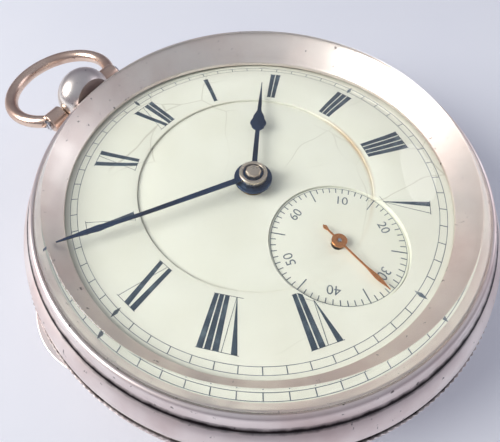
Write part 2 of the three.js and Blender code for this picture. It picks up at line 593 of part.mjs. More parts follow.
function bowRing() {
  let solid = toSolid(new THREE.ExtrudeGeometry(circle(BOW_WIRE_R), {
    steps: 26, extrudePath: bowCurve(), bevelEnabled: false, curveSegments: 5 }));
  for (const side of [-1, 1]) {
    solid = solid.add(rodX(BOW_EYE_R, side * BOW_EYE_IN, side * BOW_EYE_OUT, SMALL_SIDES));
  }
  solid = solid.subtract(rodX(BOW_SCREW.shank + 2 * FIT, -15, 15));
  // each wire end is spot-faced for the screw's head
  for (const side of [-1, 1]) {
    solid = solid.subtract(rodX(BOW_SCREW.head + FIT, side * BOW_EYE_OUT, side * (BOW_EYE_OUT + 3)));
  }
  return solid.rotate([BOW_DROOP, 0, 0]).translate([0, BOW_PIVOT.y, BOW_PIVOT.z]);
}

function bowScrew(side) {
  const seat = side * (BOW_EYE_OUT + FIT);
  const end = seat + side * BOW_SCREW.headH;
  const shank = rodX(BOW_SCREW.shank, side * BOW_SCREW.depth, seat + side * 0.2);
  const head = rodX(BOW_SCREW.head, seat, end);
  const slot = box(end - 0.15, end + 0.15, -SCREW_SLOT.half, SCREW_SLOT.half, -1, 1);
  return shank.add(head).subtract(slot).translate([0, BOW_PIVOT.y, BOW_PIVOT.z]);
}

add(watch, 'pendant', pendantBall(), SILVER);
add(watch, 'bow', bowRing(), SILVER);
add(watch, 'bow_screw_left', bowScrew(-1), STEEL);
add(watch, 'bow_screw_right', bowScrew(1), STEEL);

// ---------------------------------------------------------------- dial
const secondsCut = (low, high) => move(disc(SECONDS_R, low, high, RING_SIDES), FOURTH_AT);

function dialRing() {
  const low = DIAL_Z - DIAL_THICK;
  const chamfer = 0.15;
  const ring = turned([
    [CENTRE_R, low], [DIAL_R, low], [DIAL_R, DIAL_Z - chamfer], [DIAL_R - chamfer, DIAL_Z],
    [CENTRE_R, DIAL_Z]]);
  return ring.subtract(secondsCut(low - THROUGH, DIAL_Z + THROUGH));
}
function dialCentre() {
  const high = DIAL_Z - CENTRE_SINK;
  const low = high - SUNK_THICK;
  return tube(1.5, CENTRE_R - ENAMEL_GAP, low, high, RING_SIDES)
    .subtract(secondsCut(low - THROUGH, high + THROUGH));
}
function dialSeconds() {
  const high = DIAL_Z - SECONDS_SINK;
  return move(tube(0.7, SECONDS_R - ENAMEL_GAP, high - SUNK_THICK, high, RING_SIDES), FOURTH_AT);
}
add(movement, 'dial_ring', dialRing(), ENAMEL);
add(movement, 'dial_centre', dialCentre(), ENAMEL);
add(movement, 'dial_seconds', dialSeconds(), ENAMEL);

// ---------------------------------------------------------------- hands
const minutesNow = TIME.minute + TIME.second / 60;
const HAND_TURN = {
  hour: -30 * (TIME.hour + minutesNow / 60), minute: -6 * minutesNow, second: -6 * TIME.second,
};

// a hand pointing along +Y, with a round boss; `blade` lists its half widths at distances
// back from the tip
function handSolid({ length, blade, boss, bore, low, thick, turn }) {
  const stations = blade.map(([back, half]) => [length - back, half]);
  const left = stations.map(([y, half]) => [-half, y]).reverse();
  const right = stations.map(([y, half]) => [half, y]);
  return plateOf([...right, ...left], low, low + thick)
    .add(disc(boss.radius, low, low + boss.height, 22))
    .subtract(disc(bore, low - THROUGH, low + boss.height + THROUGH))
    .rotate([0, 0, turn]);
}

const hourHand = handSolid({
  length: HOUR_HAND_L,
  blade: [
    [HOUR_HAND_L - 1.5, 0.3], [8.3, 0.26], [7.8, 0.75], [7.1, 0.95], [6.4, 0.7], [5.1, 0.24],
    [0, 0.05]],
  boss: { radius: HOUR_BOSS_R, height: 0.42 },
  bore: HOUR_PIPE.outer + 0.04, low: HOUR_HAND_Z, thick: HAND_THICK, turn: HAND_TURN.hour,
});
const minuteHand = handSolid({
  length: MINUTE_HAND_L,
  blade: [
    [MINUTE_HAND_L - 1.0, 0.3], [6.0, 0.24], [5.1, 0.3], [4.2, 0.36], [3.1, 0.3], [1.4, 0.14],
    [0, 0.05]],
  boss: { radius: 1.45, height: 0.45 },
  bore: CANNON_R + 0.04, low: MINUTE_HAND_Z, thick: HAND_THICK, turn: HAND_TURN.minute,
});
const secondsHand = handSolid({
  length: SECONDS_HAND_L,
  blade: [[8.9, 0.05], [8.6, 0.22], [8.2, 0.1], [3.0, 0.1], [1.4, 0.24], [0, 0.04]],
  boss: { radius: 0.78, height: 0.22 },
  bore: PIVOT_R + 0.03, low: SECONDS_HAND_Z, thick: 0.14, turn: HAND_TURN.second,
});
add(movement, 'hour_hand', hourHand, BLUED);
add(movement, 'minute_hand', minuteHand, BLUED);
add(movement, 'seconds_hand', move(secondsHand, FOURTH_AT), COPPER);

// ---------------------------------------------------------------- motion work, under the dial
const HOUR_WHEEL_Z = PLATE_TOP + 0.55;
const motionWheel = (teeth, phase, low, high, pointed) =>
  flat(wheelShape({ teeth, module: MOTION.module, phase, bore: 0, pointed }), low, high);
function cannonPinion() {
  const low = PLATE_TOP + RUN;
  const top = MINUTE_HAND_Z + 0.62;
  const leaves = motionWheel(MOTION.cannon, cannonPhase, low, PLATE_TOP + 0.45, false);
  const pipe = turned(
    [[0, low], [CANNON_R, low], [CANNON_R, top - 0.15], [0.4, top], [0, top]], SMALL_SIDES);
  return leaves.add(pipe)
    .subtract(disc(CANNON_BORE, PLATE_TOP - THROUGH, MINUTE_HAND_Z - 0.4, BORE_SIDES));
}
function hourWheel() {
  const wheel = motionWheel(MOTION.hour, hourWheelPhase, HOUR_WHEEL_Z, HOUR_WHEEL_Z + WHEEL_THICK, true);
  const pipe = disc(HOUR_PIPE.outer, HOUR_WHEEL_Z, HOUR_HAND_Z + 0.5);
  return wheel.add(pipe).subtract(disc(HOUR_PIPE.inner, PLATE_TOP, HOUR_HAND_Z + 2));
}
function minuteWheel() {
  const [low, step, high] = [PLATE_TOP + 0.18, PLATE_TOP + 0.42, PLATE_TOP + 0.82];
  const wheel = motionWheel(MOTION.minute, minuteWheelPhase, low, step, true);
  const pinion = motionWheel(MOTION.pinion, minutePinionPhase, step, high, false);
  return wheel.add(pinion).subtract(disc(CANNON_BORE, PLATE_TOP, PLATE_TOP + 2, BORE_SIDES));
}
add(movement, 'cannon_pinion', cannonPinion(), STEEL);
add(movement, 'hour_wheel', hourWheel(), BRASS);
add(movement, 'minute_wheel', move(minuteWheel(), MINUTE_WHEEL_AT), BRASS);
add(movement, 'minute_wheel_post',
  move(disc(MINUTE_POST_R, PLATE_TOP - 0.6, PLATE_TOP + 0.86, BORE_SIDES), MINUTE_WHEEL_AT), STEEL);

// ---------------------------------------------------------------- plates
// cuts one round hole per place
const drill = (solid, places, radius, low, high, sides = 8) =>
  places.reduce((left, at) => left.subtract(move(disc(radius, low, high, sides), at)), solid);

function mainPlate() {
  const seatZ = LEDGE_Z + FIT;
  const [below, above] = [PLATE_FOOT - THROUGH, PLATE_TOP + THROUGH];
  let solid = turned([
    [0, PLATE_FOOT], [PLATE_R, PLATE_FOOT], [PLATE_R, seatZ], [FLANGE_R, seatZ],
    [FLANGE_R, PLATE_TOP], [0, PLATE_TOP]]);
  solid = drill(solid, [CENTRE_AT], ARBOR_R + 0.1, below, above, SMALL_SIDES);
  solid = drill(solid, [FOURTH_AT], ARBOR_R + FIT, below, above, BORE_SIDES);
  solid = drill(solid, [THIRD_AT, ESCAPE_AT, PALLET_AT, BALANCE_AT], PIVOT_HOLE_R, below, PLATE_FOOT + 0.8);
  solid = drill(solid, [BARREL_AT], BARREL_PIVOT_R + FIT, below, PLATE_FOOT + 0.9, BORE_SIDES);
  solid = drill(
    solid, [MINUTE_WHEEL_AT], MINUTE_POST_R + 0.03, PLATE_TOP - 0.65, above, BORE_SIDES);
  return drill(solid, caseScrewPlaces, CASE_SCREW.hole, below, PLATE_TOP - 0.3);
}

function threeQuarterPlate() {
  let solid = disc(TOP_PLATE_R, TOP_PLATE_FOOT, TOP_PLATE_TOP, RING_SIDES);
  const [low, high] = [TOP_PLATE_FOOT - THROUGH, TOP_PLATE_TOP + THROUGH];
  solid = drill(solid, [BALANCE_AT], BALANCE_ROOM_R, low, high, RING_SIDES);
  // the plate is left off outside the balance and round the foot of its cock
  const corners = OPEN_QUARTER.map((turn) => polar(TOP_PLATE_R + 4, turn));
  const open = new THREE.Shape([new THREE.Vector2(0, 0), ...corners]);
  solid = solid.subtract(move(flat(open, low, high), BALANCE_AT));
  solid = drill(solid, caseScrewPlaces, CASE_SCREW.head + RUN, low, high, BORE_SIDES);
  solid = drill(solid, [CENTRE_AT, THIRD_AT, FOURTH_AT, ESCAPE_AT], PIVOT_HOLE_R, low, high);
  solid = drill(solid, [BARREL_AT], BARREL_STAFF_R + 0.1, low, high, BORE_SIDES);
  solid = drill(solid, pillarPlaces, PLATE_SCREW.hole, low, high);
  return drill(solid, [CLICK_AT], CLICK_SCREW.shank + 0.04, low, high);
}

function slottedScrew(headR, headLow, headHigh, shankR, shankHigh) {
  const solid = disc(headR, headLow, headHigh).add(disc(shankR, headLow, shankHigh, 8));
  const { half, deep } = SCREW_SLOT;
  return solid.subtract(box(-headR - 1, headR + 1, -half, half, headLow - 1, headLow + deep));
}
add(movement, 'main_plate', mainPlate(), GILT);
add(movement, 'three_quarter_plate', threeQuarterPlate(), GILT);
pillarPlaces.forEach((at, i) => {
  const pillar = tube(PLATE_SCREW.shank + 0.04, PILLAR_R, TOP_PLATE_TOP + FIT, PLATE_FOOT - FIT);
  const screw = slottedScrew(
    PLATE_SCREW.head, TOP_PLATE_FOOT - 0.4, TOP_PLATE_FOOT - FIT, PLATE_SCREW.shank, PLATE_FOOT - 0.9);
  add(movement, `pillar_${i + 1}`, move(pillar, at), GILT);
  add(movement, `plate_screw_${i + 1}`, move(screw, at), BLUED);
});
caseScrewPlaces.forEach((at, i) => {
  const screw = slottedScrew(
    CASE_SCREW.head, PLATE_FOOT - 0.5, PLATE_FOOT - FIT, CASE_SCREW.shank, PLATE_TOP - 0.4);
  add(movement, `case_screw_${i + 1}`, move(screw, at), BLUED);
});

// ---------------------------------------------------------------- barrel and winding
const barrelR = (BARREL.teeth * BARREL.module) / 2;

function barrelDrum() {
  const shape = wheelShape({ teeth: BARREL.teeth, module: BARREL.module, phase: barrelPhase, bore: 0 });
  const rim = flat(shape, BARREL_HIGH - 0.4, BARREL_HIGH);
  const drum = disc(barrelR - 0.6, BARREL_LOW, BARREL_HIGH, 24);
  const hollow = disc(barrelR - 1.1, BARREL_LOW - 1, BARREL_HIGH - 0.3, 24);
  return drum.add(rim).subtract(hollow)
    .subtract(disc(BARREL_STAFF_R + 0.25, BARREL_LOW - THROUGH, BARREL_HIGH + THROUGH));
}
function barrelArbor() {
  const half = WINDING_SQUARE.width / 2;
  const squareLow = TOP_PLATE_FOOT - 1.0 - WINDING_SQUARE.height / 2;
  const square = box(-half, half, -half, half, squareLow, squareLow + WINDING_SQUARE.height);
  const hub = disc(1.7, BARREL_LOW + 0.3, BARREL_HIGH - 0.35);
  const staff = disc(BARREL_STAFF_R, TOP_PLATE_FOOT - 0.5, BARREL_HIGH + 0.2);
  return staff.add(hub).add(disc(BARREL_PIVOT_R, BARREL_LOW, ARBOR_HIGH)).add(square);
}
function spiral({ inner, outer, turns, width, low, high, steps }) {
  const points = [];
  const at = (k, offset) =>
    polar(inner + ((outer - inner) * k) / steps + offset, (360 * turns * k) / steps);
  for (let k = 0; k <= steps; k += 1) points.push(at(k, width / 2));
  for (let k = steps; k >= 0; k -= 1) points.push(at(k, -width / 2));
  return flat(new THREE.Shape(points), low, high);
}
function ratchetWheel() {
  const points = [];
  for (let i = 0; i < RATCHET.teeth; i += 1) {
    const at = (i * 360) / RATCHET.teeth;
    points.push(polar(RATCHET.radius, at), polar(RATCHET.radius - 0.4, at + 1.5));
  }
  const wheel = flat(new THREE.Shape(points), RATCHET_LOW, RATCHET_HIGH);
  return wheel.subtract(disc(BARREL_STAFF_R + FIT, 0, TOP_PLATE_TOP));
}
function clickLever() {
  const [low, high] = [RATCHET_LOW, RATCHET_HIGH];
  // beak reaches along the tooth circle and stops just clear of the tips
  const beak = polar(RATCHET.radius + 0.12, CLICK_TURN + 22);
  const beakBack = polar(RATCHET.radius + 0.75, CLICK_TURN + 20);
  const root = polar(CLICK_REACH, CLICK_TURN);
  const side = polar(0.55, CLICK_TURN);
  const shape = new THREE.Shape([root.clone().sub(side), root.clone().add(side), beakBack, beak]);
  const lever = flat(shape, low, high).translate([-root.x, -root.y, 0])
    .add(disc(0.8, low, high, BORE_SIDES));
  return lever.subtract(disc(CLICK_SCREW.shank + 0.06, low - THROUGH, high + THROUGH, 8));
}
function clickSpring() {
  const [low, high] = [RATCHET_LOW + 0.02, RATCHET_HIGH];
  const outer = [];
  const inner = [];
  const radius = RATCHET.radius + 1.35;
  for (let i = 0; i <= 10; i += 1) {
    const turn = CLICK_TURN + 24 + (i / 10) * CLICK_SPRING_SPAN;
    outer.push(polar(radius + 0.12 + 0.03 * i, turn));
    inner.push(polar(radius - 0.1 + 0.01 * i, turn));
  }
  const foot = polar(radius + 0.1, CLICK_TURN + 24 + CLICK_SPRING_SPAN);
  return flat(new THREE.Shape([...outer, ...inner.reverse()]), low, high)
    .add(move(disc(0.6, low, high, 14), foot));
}
const barrelCover = tube(BARREL_STAFF_R + 0.25, barrelR - 1.15, BARREL_LOW, BARREL_LOW + 0.2, 24);
const mainspring = spiral({
  inner: 1.95, outer: barrelR - 1.3, turns: 5, width: 0.16,
  low: BARREL_LOW + 0.3, high: BARREL_HIGH - 0.4, steps: 50,
});
const clickScrew = slottedScrew(
  CLICK_SCREW.head, RATCHET_LOW - 0.4, RATCHET_LOW - FIT, CLICK_SCREW.shank, TOP_PLATE_TOP - 0.1);
add(movement, 'barrel', move(barrelDrum(), BARREL_AT), BRASS);
add(movement, 'barrel_cover', move(barrelCover, BARREL_AT), BRASS);
add(movement, 'barrel_arbor', move(barrelArbor(), BARREL_AT), STEEL);
add(movement, 'mainspring', move(mainspring, BARREL_AT), BLUED);
add(movement, 'ratchet_wheel', move(ratchetWheel(), BARREL_AT), STEEL);
add(movement, 'click', move(clickLever(), CLICK_AT), STEEL);
add(movement, 'click_spring', move(clickSpring(), BARREL_AT), STEEL);
add(movement, 'click_screw', move(clickScrew, CLICK_AT), BLUED);

// ---------------------------------------------------------------- going train
const trainWheel = ({ teeth, module }, phase, low) =>
  flat(wheelShape({ teeth, module, phase, bore: ARBOR_R + FIT, spokes: 4 }), low, low + WHEEL_THICK);

function centreArbor() {
  const leaves = wheelShape({
    teeth: CENTRE.pinion, module: BARREL.module, phase: centrePinionPhase, bore: 0, pointed: false });
  return disc(ARBOR_R, TOP_PLATE_TOP + 0.1, MINUTE_HAND_Z - 0.5, BORE_SIDES)
    .add(disc(PIVOT_R, ARBOR_LOW, TOP_PLATE_TOP + 1, 8))
    .add(flat(leaves, TOP_PLATE_TOP + 0.2, BARREL_HIGH + 0.1));
}
const thirdArbor = arbor({
  leaves: THIRD.pinion, module: CENTRE.module, phase: thirdPinionPhase,
  leafLow: CENTRE_WHEEL_Z - 0.4, leafHigh: CENTRE_WHEEL_Z + 0.4,
}).add(disc(ARBOR_R, TOP_PLATE_TOP + 0.1, CENTRE_WHEEL_Z + 0.1, BORE_SIDES));
// the fourth arbor runs on through the plate and the dial to carry the seconds hand
const fourthArbor = arbor({
  leaves: FOURTH.pinion, module: THIRD.module, phase: fourthPinionPhase,
  leafLow: TOP_PLATE_TOP + 0.2, leafHigh: THIRD_WHEEL_Z + WHEEL_THICK + 0.3,
}).add(disc(ARBOR_R, TOP_PLATE_TOP + 0.2, PLATE_FOOT + 0.3, BORE_SIDES))
  .add(disc(PIVOT_R, PLATE_FOOT, SECONDS_HAND_Z + 0.3));

add(movement, 'centre_arbor', centreArbor(), STEEL);
add(movement, 'centre_wheel', trainWheel(CENTRE, centrePhase, CENTRE_WHEEL_Z), BRASS);
add(movement, 'third_arbor', move(thirdArbor, THIRD_AT), STEEL);
add(movement, 'third_wheel', move(trainWheel(THIRD, thirdPhase, THIRD_WHEEL_Z), THIRD_AT), BRASS);
add(movement, 'fourth_arbor', move(fourthArbor, FOURTH_AT), STEEL);
add(movement, 'fourth_wheel', move(trainWheel(FOURTH, fourthPhase, FOURTH_WHEEL_Z), FOURTH_AT), BRASS);

// ---------------------------------------------------------------- escapement
function escapeWheel() {
  const points = [];
  const step = 360 / ESCAPE.teeth;
  const rootR = ESCAPE.radius - 0.75;
  for (let i = 0; i < ESCAPE.teeth; i += 1) {
    const at = i * step;
    points.push(polar(rootR, at - 8), polar(ESCAPE.radius, at - 3));
    points.push(polar(ESCAPE.radius - 0.15, at), polar(rootR, at - 3));
  }
  const shape = circleHole(new THREE.Shape(points), { x: 0, y: 0 }, ARBOR_R + FIT);
  const arms = 4;
  for (let i = 0; i < arms; i += 1) {
    const hole = [];
    const quarter = 360 / arms;
    for (const share of [0.22, 0.78]) hole.push(polar(1.0, quarter * (i + share)));
    for (const share of [0.86, 0.5, 0.14]) hole.push(polar(ESCAPE.radius - 1.1, quarter * (i + share)));
    shape.holes.push(new THREE.Path(hole));
  }
  return flat(shape, ESCAPE_WHEEL_Z, ESCAPE_WHEEL_Z + WHEEL_THICK);
}
// local +X of the lever points from the pallet arbor towards the balance
const LEVER_L = PALLET_AT.distanceTo(BALANCE_AT);
function palletLever() {
  const [low, high] = [ESCAPE_WHEEL_Z, ESCAPE_WHEEL_Z + WHEEL_THICK];
  const reach = ESCAPE.radius + PALLET_CLEAR;
  const palletX = -ESCAPE_TO_PALLET + reach * Math.cos(rad(30));
  const palletY = reach * Math.sin(rad(30));
  // one side of the anchor and the fork, from the entry pallet to the notch
  const half = [
    [-0.5, 0], [palletX, palletY], [palletX - 0.3, palletY + 0.25], [palletX + 0.35, palletY + 0.45],
    [0.55, 0.45], [LEVER_L - 1.6, 0.22], [LEVER_L - 0.75, 0.62], [LEVER_L - 0.55, 0.42],
    [LEVER_L - 1.15, 0]];
  const mirror = half.slice(1, -1).map(([x, y]) => [x, -y]).reverse();
  return plateOf([...half, ...mirror], low, high)
    .subtract(disc(PIVOT_R + 0.07, low - THROUGH, high + THROUGH, 8))
    .rotate([0, 0, leverTurn]);
}
// a narrow bridge under the balance, from a foot outside the lever
function palletCock() {
  const [low, high] = [PALLET_COCK_Z, PALLET_COCK_Z + 0.5];
  const footX = 4.3;
  return plateOf([[-0.75, -0.75], [footX, -0.9], [footX, 0.9], [-0.75, 0.75]], low, high)
    .add(disc(1.1, low, PLATE_FOOT - FIT, 18).translate([footX, 0, 0]))
    .subtract(disc(PIVOT_HOLE_R, low - THROUGH, high + THROUGH, 8))
    .rotate([0, 0, leverTurn - 78]);
}
const escapeArbor = arbor({
  leaves: ESCAPE.pinion, module: FOURTH.module, phase: escapePinionPhase,
  leafLow: FOURTH_WHEEL_Z - 0.2, leafHigh: FOURTH_WHEEL_Z + WHEEL_THICK + 0.25,
});
add(movement, 'escape_arbor', move(escapeArbor, ESCAPE_AT), STEEL);
add(movement, 'escape_wheel', move(escapeWheel(), ESCAPE_AT), BRASS);
add(movement, 'pallet_arbor', move(disc(PIVOT_R, PALLET_COCK_Z + 0.1, ARBOR_HIGH), PALLET_AT), STEEL);
add(movement, 'pallet_lever', move(palletLever(), PALLET_AT), STEEL);
add(movement, 'pallet_cock', move(palletCock(), PALLET_AT), GILT);

// ---------------------------------------------------------------- balance
function balanceStaff() {
  const staff = disc(0.4, BALANCE_Z - 0.2, ROLLER_Z + 0.4, BORE_SIDES)
    .add(disc(PIVOT_R * 0.8, COCK_Z + 0.1, ARBOR_HIGH, 8));
  const roller = disc(1.15, ROLLER_Z, ROLLER_Z + 0.3);
  const jewel = polar(0.9, leverTurn + 180);
  const pin = move(disc(0.15, ROLLER_Z + 0.2, ESCAPE_WHEEL_Z - 0.1, 8), jewel);
  return staff.add(roller).add(pin);
}
function balanceWheel() {
  const [low, high] = [BALANCE_Z, BALANCE_Z + BALANCE_H];
  const rimR = BALANCE_R - 0.45;
  const armR = rimR - 0.3;
  const [armLow, armHigh] = [low + 0.15, high - 0.15];
  let solid = tube(rimR - 0.55, rimR, low, high, 30)
    .add(box(-armR, armR, -0.35, 0.35, armLow, armHigh))
    .add(disc(0.9, armLow, armHigh));
  for (let i = 0; i < BALANCE_SCREWS; i += 1) {
    const screw = rodX(0.24, rimR - 0.2, rimR + 0.4, 6).translate([0, 0, (low + high) / 2]);
    solid = solid.add(screw.rotate([0, 0, (i + 0.5) * (360 / BALANCE_SCREWS)]));
  }
  return solid.subtract(disc(0.45, low - THROUGH, high + THROUGH, BORE_SIDES));
}
function hairspring() {
  const low = COCK_Z + COCK_H + 0.12;
  const high = low + 0.2;
  return spiral({ ...HAIRSPRING, width: 0.07, low, high, steps: 54 })
    .add(tube(0.3, HAIRSPRING.inner + 0.04, low, high, BORE_SIDES));
}
function balanceCock() {
  const [low, high] = [COCK_Z, COCK_Z + COCK_H];
  const table = flat(circle(3.7), low, high, 12);
  const arm = box(0, COCK_FOOT.to, -COCK_HALF_W, COCK_HALF_W, low, high);
  const foot = box(COCK_FOOT.from, COCK_FOOT.to, -COCK_HALF_W, COCK_HALF_W, low, PLATE_FOOT - FIT);
  return table.add(arm).add(foot)
    .subtract(disc(PIVOT_HOLE_R, low - THROUGH, high + THROUGH, 8))
    .subtract(disc(0.45, low - THROUGH, PLATE_FOOT + THROUGH, 8).translate([COCK_SCREW_AT, 0, 0]))
    .rotate([0, 0, COCK_TURN]);
}
function regulator() {
  const high = COCK_Z - FIT;
  const low = high - 0.25;
  const ring = tube(1.25, 1.85, low, high, 20);
  const pointer = plateOf(
    [[1.7, -0.35], [REGULATOR_L, -0.08], [REGULATOR_L, 0.08], [1.7, 0.35]], low, high);
  return ring.add(pointer).rotate([0, 0, COCK_TURN + 180]);
}
add(movement, 'balance_staff', move(balanceStaff(), BALANCE_AT), STEEL);
add(movement, 'balance_wheel', move(balanceWheel().rotate([0, 0, 30]), BALANCE_AT), BRASS);
add(movement, 'hairspring', move(hairspring(), BALANCE_AT), BLUED);
add(movement, 'balance_cock', move(balanceCock(), BALANCE_AT), GILT);
add(movement, 'regulator', move(regulator(), BALANCE_AT), STEEL);
const jewelTop = COCK_Z - FIT;
const jewelSolid = turned(
  [[0, jewelTop - 0.3], [0.55, jewelTop - 0.3], [0.95, jewelTop], [0, jewelTop]], 20);
add(movement, 'cap_jewel', move(jewelSolid, BALANCE_AT), RUBY);
const cockScrew = slottedScrew(0.75, COCK_Z - 0.27, COCK_Z - FIT, 0.4, PLATE_FOOT - 0.3);
const cockScrewAt = BALANCE_AT.clone().add(polar(COCK_SCREW_AT, COCK_TURN));
add(movement, 'cock_screw', move(cockScrew, cockScrewAt), BLUED);

export default watch;
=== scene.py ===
# %% [markdown]
# # An open-face pocket watch
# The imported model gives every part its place, its size and the body that it turns with. This lesson
# gives those parts their finish, and remakes the ones in plain sight as fine meshes in the same place.
# %% Load the frame
import json
import math

import bpy
from mathutils import Matrix, Vector


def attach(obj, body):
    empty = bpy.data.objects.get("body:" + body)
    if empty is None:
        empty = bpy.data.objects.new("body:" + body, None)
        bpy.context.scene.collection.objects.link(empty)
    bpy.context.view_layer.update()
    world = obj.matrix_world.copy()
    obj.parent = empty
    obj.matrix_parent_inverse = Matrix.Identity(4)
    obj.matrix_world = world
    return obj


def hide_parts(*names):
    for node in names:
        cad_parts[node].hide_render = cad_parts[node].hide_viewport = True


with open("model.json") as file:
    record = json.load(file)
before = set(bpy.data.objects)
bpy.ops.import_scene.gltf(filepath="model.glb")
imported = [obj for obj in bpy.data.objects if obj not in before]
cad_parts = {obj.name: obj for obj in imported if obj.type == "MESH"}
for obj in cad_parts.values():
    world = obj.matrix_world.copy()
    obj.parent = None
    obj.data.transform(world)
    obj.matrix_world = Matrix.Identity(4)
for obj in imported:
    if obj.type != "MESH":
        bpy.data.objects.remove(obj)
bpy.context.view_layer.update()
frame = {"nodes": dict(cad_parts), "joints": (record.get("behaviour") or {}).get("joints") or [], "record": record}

MM = 0.001
joint_at = {j["name"]: Vector(j["pos_m"]) / MM for j in frame["joints"]}

# %% [markdown]
# ## Outlines with soft corners
# A real turned or stamped edge is never perfectly sharp, and its tiny round is what catches the light.
# A Bevel modifier could add it afterwards. Rounding the outline itself is cleaner, because the mesh
# then has even rows and nothing pinches where two bevels meet.
# %% Outline helpers
def rounded(outline, radius, steps=3):
    """The closed outline with each corner replaced by an arc; points on the axis stay as they are."""
    result = []
    count = len(outline)
    for i, (x, y) in enumerate(outline):
        here = Vector((x, y))
        back = Vector(outline[i - 1]) - here
        ahead = Vector(outline[(i + 1) % count]) - here
        reach = min(radius, back.length * 0.45, ahead.length * 0.45)
        straight = abs(back.normalized().dot(ahead.normalized())) > 0.995
        if x < 1e-6 or straight or reach < 1e-4:
            result.append((x, y))
            continue
        start = here + back.normalized() * reach
        end = here + ahead.normalized() * reach
        for k in range(steps + 1):
            t = k / steps
            point = start * (1 - t) ** 2 + here * 2 * t * (1 - t) + end * t ** 2
            result.append((point.x, point.y))
    return result


def polar(radius, degrees):
    return (radius * math.cos(math.radians(degrees)), radius * math.sin(math.radians(degrees)))


# %% [markdown]
# ## Turned pieces
# Nearly everything on a watch case was made on a lathe. A profile spun round the axis gives clean
# rings of quads, as the Screw modifier would, and building them directly also allows a milled edge:
# the radius can ripple as it goes round.
# %% Mesh helpers
def mesh_from(name, points, faces, smooth_below=32):
    mesh = bpy.data.meshes.new(name)
    mesh.from_pydata([Vector(p) * MM for p in points], [], faces)
    mesh.update()
    smooth(mesh, smooth_below)
    return mesh


def smooth(mesh, smooth_below=32):
    mesh.polygons.foreach_set("use_smooth", [True] * len(mesh.polygons))
    mesh.set_sharp_from_angle(angle=math.radians(smooth_below))


def turned(name, outline, sides=224, ripple=None):
    points, rings, faces = [], [], []
    for r, z in outline:
        if r < 1e-6:
            rings.append([len(points)] * sides)
            points.append((0, 0, z))
            continue
        rings.append(list(range(len(points), len(points) + sides)))
        for k in range(sides):
            angle = 360 * k / sides
            points.append((*polar(r - (ripple(r, z, k) if ripple else 0), angle), z))
    for a, b in zip(rings, rings[1:] + rings[:1]):
        for k in range(sides):
            j = (k + 1) % sides
            face = list(dict.fromkeys((a[k], a[j], b[j], b[k])))
            if len(face) > 2:
                faces.append(face)
    return mesh_from(name, points, faces)


def bar(name, start, end, radius, sides=40, edge=0.08):
    """A round bar between two points, with softened ends."""
    start, end = Vector(start), Vector(end)
    length = (end - start).length
    outline = rounded([(0, 0), (radius, 0), (radius, length), (0, length)], edge)
    mesh = turned(name, outline, sides)
    turn = (end - start).to_track_quat("Z", "Y").to_matrix().to_4x4()
    mesh.transform(Matrix.Translation(start * MM) @ turn)
    return mesh


def brick(name, low, high):
    spans = list(zip(low, high))
    corners = [(x, y, z) for z in spans[2] for y in spans[1] for x in spans[0]]
    faces = [(0, 2, 3, 1), (4, 5, 7, 6), (0, 1, 5, 4), (2, 6, 7, 3), (0, 4, 6, 2), (1, 3, 7, 5)]
    return mesh_from(name, corners, faces)


def plate(name, outlines, low, high, edge=0.03):
    """A flat plate from one or more closed outlines, with a small round on both edges."""
    curve = bpy.data.curves.new(name, "CURVE")
    curve.dimensions = "2D"
    curve.fill_mode = "BOTH"
    for outline in outlines:
        spline = curve.splines.new("POLY")
        spline.points.add(len(outline) - 1)
        for point, (x, y) in zip(spline.points, outline):
            point.co = (x * MM, y * MM, 0, 1)
        spline.use_cyclic_u = True
    curve.extrude = ((high - low) / 2 - edge) * MM
    curve.bevel_depth = edge * MM
    curve.bevel_resolution = 1
    curve.offset = -edge * MM
    holder = bpy.data.objects.new(name, curve)
    bpy.context.scene.collection.objects.link(holder)
    mesh = bpy.data.meshes.new_from_object(holder.evaluated_get(bpy.context.evaluated_depsgraph_get()))
    bpy.data.objects.remove(holder)
    mesh.transform(Matrix.Translation((0, 0, (low + high) / 2 * MM)))
    smooth(mesh)
    return mesh


def carve(mesh, tools, operation="DIFFERENCE"):
    """The mesh with each tool mesh cut away from it, or joined to it."""
    holder = bpy.data.objects.new("carving", mesh)
    bpy.context.scene.collection.objects.link(holder)
    helpers = []
    for tool in tools:
        helper = bpy.data.objects.new("tool", tool)
        bpy.context.scene.collection.objects.link(helper)
        helpers.append(helper)
        modifier = holder.modifiers.new("cut", "BOOLEAN")
        modifier.operation = operation
        modifier.solver = "EXACT"
        modifier.object = helper
    bpy.context.view_layer.update()
    result = bpy.data.meshes.new_from_object(
        holder.evaluated_get(bpy.context.evaluated_depsgraph_get()))
    for leftover in [holder, *helpers]:
        bpy.data.objects.remove(leftover)
    smooth(result)
    return result


def merged(name, meshes):
    """Several meshes as one, each keeping its own shells."""
    points, faces = [], []
    for mesh in meshes:
        base = len(points)
        points += [v.co / MM for v in mesh.vertices]
        faces += [[base + i for i in p.vertices] for p in mesh.polygons]
    return mesh_from(name, points, faces)


def place(name, mesh, material, body, stands_for=()):
    mesh.name = name
    mesh.materials.clear()
    mesh.materials.append(material)
    piece = bpy.data.objects.new(name, mesh)
    bpy.context.scene.collection.objects.link(piece)
    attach(piece, body)
    if stands_for:
        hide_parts(*stands_for)
    return piece


# %% [markdown]
# ## Shared effects for the finishes
# Wear is the same story on every metal here: broad tarnish where fingers leave it alone, fine hairline
# scratches in all directions, and small dark pits. One group makes those three masks and a height, and
# each metal sets its own scale and mixes them its own way.
# %% Wear group
def new_group(name, inputs, outputs):
    tree = bpy.data.node_groups.new(name, "ShaderNodeTree")
    for label, value in inputs.items():
        socket = tree.interface.new_socket(label, in_out="INPUT", socket_type="NodeSocketFloat")
        socket.default_value = value
    for label in outputs:
        tree.interface.new_socket(label, in_out="OUTPUT", socket_type="NodeSocketFloat")
    return tree, tree.nodes.new("NodeGroupInput"), tree.nodes.new("NodeGroupOutput")


